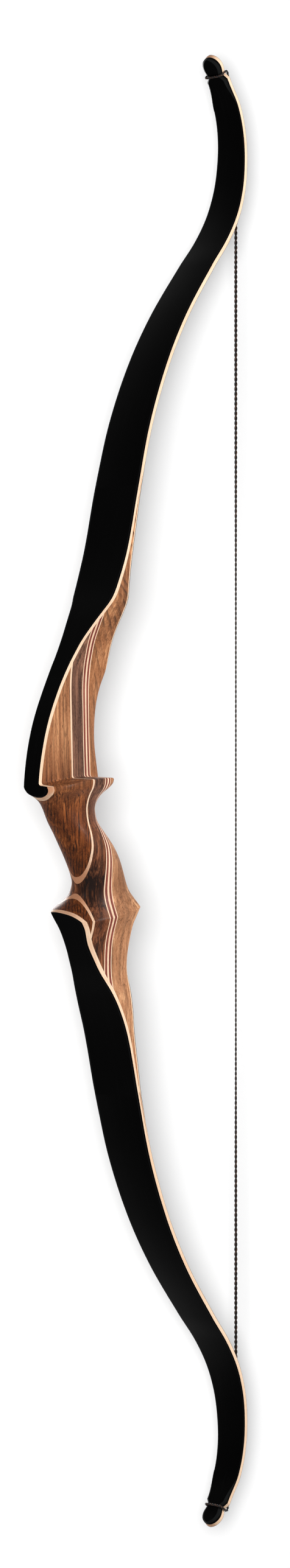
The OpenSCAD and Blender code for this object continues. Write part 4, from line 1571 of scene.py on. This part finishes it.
class CordTree(Wiring):
    """Geometry nodes that lay twisted plies along a curve."""

    def __init__(self, name: str) -> None:
        """Builds the tree with its named inputs.

        Args:
            name: Name of the tree.
        """
        super().__init__(bpy.data.node_groups.new(name, "GeometryNodeTree"))
        face = self.tree.interface
        face.new_socket("Geometry", in_out="INPUT", socket_type="NodeSocketGeometry")
        for label, value in (("Pitch", 0.009), ("Step", 0.0006), ("Ply Share", 0.5)):
            face.new_socket(label, in_out="INPUT", socket_type="NodeSocketFloat").default_value = value
        face.new_socket("Black Ply", in_out="INPUT", socket_type="NodeSocketMaterial")
        face.new_socket("Brown Ply", in_out="INPUT", socket_type="NodeSocketMaterial")
        face.new_socket("Geometry", in_out="OUTPUT", socket_type="NodeSocketGeometry")
        self.entry = self.node("NodeGroupInput", {}, {}).outputs
        plies = [self.ply(0.0, "Black Ply"), self.ply(math.pi, "Brown Ply")]
        join = self.node("GeometryNodeJoinGeometry", {}, {})
        for ply in plies:
            self.tree.links.new(ply, join.inputs[0])
        self.node("NodeGroupOutput", {}, {0: join.outputs[0]})

    def stretched(self, vector: bpy.types.NodeSocket, by: Value) -> bpy.types.NodeSocket:
        """A vector times a number."""
        return self.node("ShaderNodeVectorMath", {"operation": "SCALE"}, {0: vector, 3: by}).outputs[0]

    def ply(self, phase: float, material: str) -> bpy.types.NodeSocket:
        """One ply that winds round the curve.

        Args:
            phase: Where round the curve it starts.
            material: Name of the input with its material.

        Returns:
            The socket with the ply's mesh.
        """
        entry = self.entry
        evened = self.node("GeometryNodeResampleCurve", {"mode": "LENGTH"}, {
            "Curve": entry["Geometry"], "Length": entry["Step"]}).outputs[0]
        length = self.out("GeometryNodeSplineParameter", "Length")
        turn = self.math("DIVIDE", length, entry["Pitch"]) * math.tau + phase
        normal = self.out("GeometryNodeInputNormal")
        across = self.vector("CROSS_PRODUCT", self.out("GeometryNodeInputTangent"), normal)
        ply_radius = self.math("MULTIPLY", self.out("GeometryNodeInputRadius"), entry["Ply Share"])
        way = self.vector("ADD", self.stretched(normal, self.math("COSINE", turn)),
                          self.stretched(across, self.math("SINE", turn)))
        wound = self.out("GeometryNodeSetPosition", Geometry=evened, Offset=self.stretched(way, ply_radius))
        ring = self.out("GeometryNodeCurvePrimitiveCircle", Resolution=9, Radius=1.04)
        tube = self.node("GeometryNodeCurveToMesh", {}, {
            "Curve": wound, "Profile Curve": ring, "Scale": ply_radius, "Fill Caps": True}).outputs[0]
        real = self.out("GeometryNodeRealizeInstances",
                        Geometry=self.out("GeometryNodeSetShadeSmooth", Geometry=tube))
        return self.out("GeometryNodeSetMaterial", Geometry=real, Material=entry[material])

    def lay(self, name: str, path: np.ndarray, radii: np.ndarray, sizes: dict) -> bpy.types.Object:
        """Lays the plies along a path.

        Args:
            name: Name of the piece.
            path: Points (x, y, z) in millimetres.
            radii: Radius of the whole cord at each point, in millimetres.
            sizes: Values of the tree's inputs, by name.

        Returns:
            The cord as a plain mesh object.
        """
        data = bpy.data.curves.new(name + "_path", "CURVE")
        data.dimensions = "3D"
        spline = data.splines.new("POLY")
        spline.points.add(len(path) - 1)
        for point, at, r in zip(spline.points, path * MM, radii * MM):
            point.co = (*at, 1)
            point.radius = r
        source = placed(name + "_path", data)
        twist = source.modifiers.new("twist", "NODES")
        twist.node_group = self.tree
        for item in self.tree.interface.items_tree:
            if item.item_type == "SOCKET" and item.in_out == "INPUT" and item.name in sizes:
                twist[item.identifier] = sizes[item.name]
        piece = evaluated_mesh(source, name)
        drop(source)
        return piece


@dataclass
class BowString:
    """One half of the string: the straight half, the end along the belly and the loop."""

    finishes: Finishes
    half: Half
    tree: CordTree
    splice_d: float = 2.6
    thick_d: float = 2.8
    thin_d: float = 1.5
    gap: float = 0.3
    loop_d: float = 2.0
    pitch: float = 8.5
    loop_pitch: float = 5.0
    step: float = 0.6
    upper_taper: tuple = (90, 380)
    lower_taper: tuple = (150, 430)
    touch_share: float = 0.79178
    touch_step: float = 0.00152265
    touch_tries: int = 41
    lift_reach: float = 26.0
    turn_reach: float = 6.0
    even_to_s: float = 80.0
    middle_gap: float = 0.15
    leg_h: float = 20.0

    def on_limb(self, rows: list) -> np.ndarray:
        """Points (x, y, z) from rows of place, depth and y."""
        return BOW.points(self.half, *np.array(rows, float).T)

    @cached_property
    def lie_depth(self) -> float:
        """Depth of the string's middle where it lies along the belly."""
        return BOW.limb_t + self.gap + self.splice_d / 2

    @cached_property
    def spare(self) -> float:
        """How much thinner the limb is than where the string's turning points were worked out."""
        return BOW.seat_t - BOW.limb_t

    @cached_property
    def touch(self) -> tuple[float, float, float]:
        """Point where the string leaves the belly.

        Returns:
            Its place along the limb, its x and its s.
        """
        shares = self.touch_share + self.touch_step * np.arange(self.touch_tries)
        marks = BOW.root_s + BOW.limb_rise * shares
        points = BOW.behind(marks, self.lie_depth + self.spare)
        best = int(np.argmax(points[:, 0]))
        return float(marks[best]), float(points[best, 0]), float(points[best, 1])

    def straight(self) -> tuple[np.ndarray, np.ndarray]:
        """The string from where it leaves the belly to the bow's middle.

        Returns:
            Its path, and its diameter at each point.
        """
        _, x, top = self.touch
        low, high = self.upper_taper if self.half is Half.UPPER else self.lower_taper
        s = np.concatenate([np.linspace(top, self.even_to_s, 40), [self.middle_gap / 2]])
        path = np.stack([np.full_like(s, x), np.zeros_like(s), BOW.middle_z + self.half.value * s], 1)
        return path, mix(self.thin_d, self.thick_d, smooth((s - low) / (high - low)))

    @property
    def fork(self) -> float:
        """Place where the string parts into its two legs."""
        return BOW.nock_s - self.leg_h

    def leg_rows(self) -> list:
        """One leg, from the fork over the belly's edge into the nock.

        Returns:
            Rows of place, depth and y.
        """
        n, deep, lie = BOW.nock_s, BOW.limb_t + self.gap + self.loop_d / 2, self.lie_depth
        y = BOW.neck_w / 2 + self.gap + self.loop_d / 2
        f = self.fork
        return [[f - 6, lie, 0.4], [f - 2, lie, 0.6], [f + 3, lie - 0.1, 1.6], [f + 8, deep, 4],
                [f + 14, deep, 6.9], [n - 2.5, deep, 8.4], [n - 0.9, deep - 0.1, y - 0.05],
                [n - 0.1, deep - 1, y], [n, BOW.limb_t - 0.9, y], [n, BOW.limb_t / 2 + 0.1, y]]

    def loop_rows(self) -> list:
        """The loop round the back of the tip, from one nock to the other.

        Returns:
            Rows of place, depth and y.
        """
        n, y = BOW.nock_s, BOW.neck_w / 2 + self.gap + self.loop_d / 2
        back = -BOW.overlay_t - self.gap - self.loop_d / 2
        side = [[n, BOW.limb_t / 2, 1], [n, 0.6, 1], [n, -1.6, 0.98], [n, back + 0.8, 0.9],
                [n, back, 0.68], [n, back, 0.4]]
        return [[a, b, c * y] for a, b, c in side] + [[a, b, -c * y] for a, b, c in side[::-1]]

    def rounded(self, path: np.ndarray, count: int) -> np.ndarray:
        """A path with its corners rounded.

        Args:
            path: Points (x, y, z).
            count: How many points the new path has.

        Returns:
            Points (x, y, z) at even steps.
        """
        step = np.concatenate([[0], np.cumsum(np.linalg.norm(np.diff(path, axis=0), axis=1))])
        table = Table(np.column_stack([step, path]).tolist())
        return table.at(np.linspace(0, step[-1], count))[:, 1:]

    def lay(self, name: str, path: np.ndarray, diameter: float | np.ndarray, pitch: float,
            brown: bool = True) -> bpy.types.Object:
        """Lays cord along a path.

        Args:
            name: Name of the piece.
            path: Points (x, y, z) in millimetres.
            diameter: Diameter all along or at each point.
            pitch: Length of one turn of its plies.
            brown: Whether one ply is brown.

        Returns:
            The cord as a plain mesh object.
        """
        f = self.finishes
        return self.tree.lay(name, path, np.broadcast_to(diameter, len(path)) / 2, {
            "Pitch": pitch * MM, "Step": self.step * MM, "Black Ply": f.cord_black,
            "Brown Ply": f.cord_brown if brown else f.cord_black})

    def build(self) -> None:
        """Builds and dresses the three pieces of this half."""
        word = self.half.word
        half_piece = self.lay(f"string_half_{word}", *self.straight(), self.pitch)
        touch_s, x, s = self.touch
        start, end = ((x * MM, 0, (BOW.middle_z + self.half.value * (s + d)) * MM)
                      for d in (self.turn_reach, -self.turn_reach))
        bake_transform(half_piece)
        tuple(start)
        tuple(end)
        stands_for(half_piece, f"{word}_string", "string")

        run = np.linspace(touch_s, self.fork, 40)
        lift = self.spare * (1 - smooth((run - touch_s) / self.lift_reach))
        end_path = self.on_limb([[a, self.lie_depth + b, 0] for a, b in zip(run, lift)])
        parts = [self.lay(f"string_end_{word}", end_path, self.splice_d, self.pitch)]
        for side in (1, -1):
            rows = [[a, b, side * c] for a, b, c in self.leg_rows()]
            leg = self.rounded(self.on_limb(rows), 60)
            parts.append(self.lay(f"leg_{side}", leg, self.loop_d, self.loop_pitch, side > 0))
        end_piece = self.joined(parts)
        nock = self.on_limb([[BOW.nock_s - 1, BOW.limb_t, 0], [self.fork + 2, self.lie_depth, 0]]) * MM
        tuple(nock[0])
        tuple(nock[1])
        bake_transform(end_piece)
        stands_for(end_piece, f"{word}_string_end", "string")

        loop_path = self.rounded(self.on_limb(self.loop_rows()), 90)
        loop = self.lay(f"string_loop_{word}", loop_path, self.loop_d, self.loop_pitch)
        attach(loop, f"{word}_limb")
        stands_for(loop, f"{word}_string_loop", "string")

    def joined(self, pieces: list) -> bpy.types.Object:
        """Several mesh objects as one.

        Args:
            pieces: The objects.

        Returns:
            The first one, which holds them all.
        """
        with bpy.context.temp_override(active_object=pieces[0], selected_editable_objects=pieces):
            bpy.ops.object.join()
        return pieces[0]


# Camera, light and floor.


class Lit(Enum):
    """What a lamp lights, spelled as the state of the setting in the lamp's list."""

    BOW = "EXCLUDE"
    SETTING = "INCLUDE"


@dataclass
class Studio:
    """Camera at the photograph's angle, soft lamps, pale surroundings, floor and backdrop."""

    eye: tuple = (-1.9034, -1.5433, 0.0205)
    look: tuple = (0.788, 0.6157, 0.0)
    lens: float = 68.73
    floor_z: float = -0.7
    wall_d: float = 0.24
    wall_turn: float = 12.0
    wall_half_w: float = 0.42
    wall_h: float = 1.5
    sky: float = 0.32
    lamps: tuple = (("key_lamp", (0.75, -2.3, 0.75), 0.9, 60, Lit.BOW),
                    ("fill_lamp", (-2.3, -0.5, 0.9), 1.2, 12, Lit.BOW),
                    ("far_lamp", (1.2, 2.2, 0.9), 1.2, 52, Lit.BOW),
                    ("wall_lamp", (-2.03, -1.543, 0.06), 0.54, 64, Lit.SETTING))

    def aimed(self, name: str, data: bpy.types.ID, place: tuple, way: Vector) -> bpy.types.Object:
        """Makes a camera or a lamp.

        Args:
            name: Its name.
            data: Its data.
            place: Where it stands.
            way: The way that it looks.

        Returns:
            The object.
        """
        made = placed(name, data)
        made.location, made.rotation_euler = place, way.to_track_quat("-Z", "Y").to_euler()
        return made

    def camera(self) -> None:
        """Makes the camera."""
        data = bpy.data.cameras.new("camera")
        data.lens, data.sensor_width, data.clip_end = self.lens, 36.0, 50
        bpy.context.scene.camera = self.aimed("camera", data, self.eye, Vector(self.look))

    def lamp(self, name: str, place: tuple, size: float, power: float, lit: Lit, setting: list) -> None:
        """A soft round lamp that points at the bow's middle.

        Args:
            name: Name of the lamp.
            place: Where it stands.
            size: Its diameter.
            power: Its power in watts.
            lit: Whether it lights the bow or the setting.
            setting: Floor and backdrop.
        """
        data = bpy.data.lights.new(name, "AREA")
        data.shape, data.size, data.energy = "DISK", size, power
        made = self.aimed(name, data, place, -Vector(place))
        group = bpy.data.collections.new(name + "_lights")
        for thing in setting:
            group.objects.link(thing)
        for entry in group.collection_objects:
            entry.light_linking.link_state = lit.value
        made.light_linking.receiver_collection = group

    def world(self) -> None:
        """Soft light from all round, which shows as white."""
        made = bpy.data.worlds.new("pale_room")
        bpy.context.scene.world = made
        made.use_nodes = True
        g = Wiring(made.node_tree)
        soft = g.out("ShaderNodeBackground", Color=WHITE, Strength=self.sky)
        white = g.out("ShaderNodeBackground", Color=WHITE, Strength=1.0)
        g.node("ShaderNodeOutputWorld", {}, {"Surface": g.either(g.seen(), soft, white)})

    def floor(self) -> bpy.types.Object:
        """A round pale floor under the lower tip.

        Returns:
            The floor.
        """
        n, radii = 96, (0.3, 1.5, 6.0)
        points = [(0.0, 0.0, self.floor_z)]
        points += [(r * math.cos(math.tau * k / n), r * math.sin(math.tau * k / n), self.floor_z)
                   for r in radii for k in range(n)]
        faces = [[0, 1 + k, 1 + (k + 1) % n] for k in range(n)]
        faces += [[1 + j * n + k, 1 + (j + 1) * n + k, 1 + (j + 1) * n + (k + 1) % n, 1 + j * n + (k + 1) % n]
                  for j in range(len(radii) - 1) for k in range(n)]
        return self.stage_piece("floor", points, faces, SettingFinish("pale_floor", glow=0.72).build())

    def backdrop(self) -> bpy.types.Object:
        """An upright panel close behind the bow, for the camera alone, clear to a look from its back.

        Returns:
            The panel.
        """
        ahead = Vector(self.look)
        turn = math.atan2(self.look[1], self.look[0]) + math.radians(self.wall_turn)
        side = Vector((math.sin(turn), -math.cos(turn), 0))
        low, high = self.floor_z, self.floor_z + self.wall_h
        points = [tuple(ahead * self.wall_d + side * (u * self.wall_half_w) + Vector((0, 0, z)))
                  for u, z in ((-1, low), (1, low), (1, high), (-1, high))]
        made = self.stage_piece("backdrop", points, [[0, 1, 2, 3]],
                                SettingFinish("pale_backdrop", glow=0.112, rise=0.17, one_sided=True).build())
        made.visible_diffuse = made.visible_glossy = made.visible_transmission = made.visible_shadow = False
        return made

    def stage_piece(self, name: str, points: list, faces: list,
                    finish: bpy.types.Material) -> bpy.types.Object:
        """A piece of the setting, which isn't part of the bow.

        Args:
            name: Name of the piece.
            points: Points (x, y, z) in metres.
            faces: Lists of point numbers.
            finish: The piece's finish.

        Returns:
            The piece.
        """
        mesh = bpy.data.meshes.new(name)
        mesh.from_pydata(points, [], faces)
        mesh.materials.append(finish)
        made = placed(name, mesh)
        return made

    def build(self) -> None:
        """Sets up everything round the bow."""
        bpy.context.scene.view_settings.view_transform = "Standard"
        self.camera()
        setting = [self.floor(), self.backdrop()]
        for name, place, size, power, lit in self.lamps:
            self.lamp(name, place, size, power, lit, setting)
        self.world()


def main() -> None:
    """Builds the setting, the string, the riser and the limbs in order."""
    logging.basicConfig(level=logging.INFO, format="%(message)s")
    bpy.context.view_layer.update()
    Studio().build()
    finishes = Finishes()
    tree = CordTree("twisted_cord")
    for half in Half:
        BowString(finishes, half, tree).build()
    Riser(finishes).build()
    for half in Half:
        Limb(finishes, half).build()


if __name__ == "__main__":
    main()
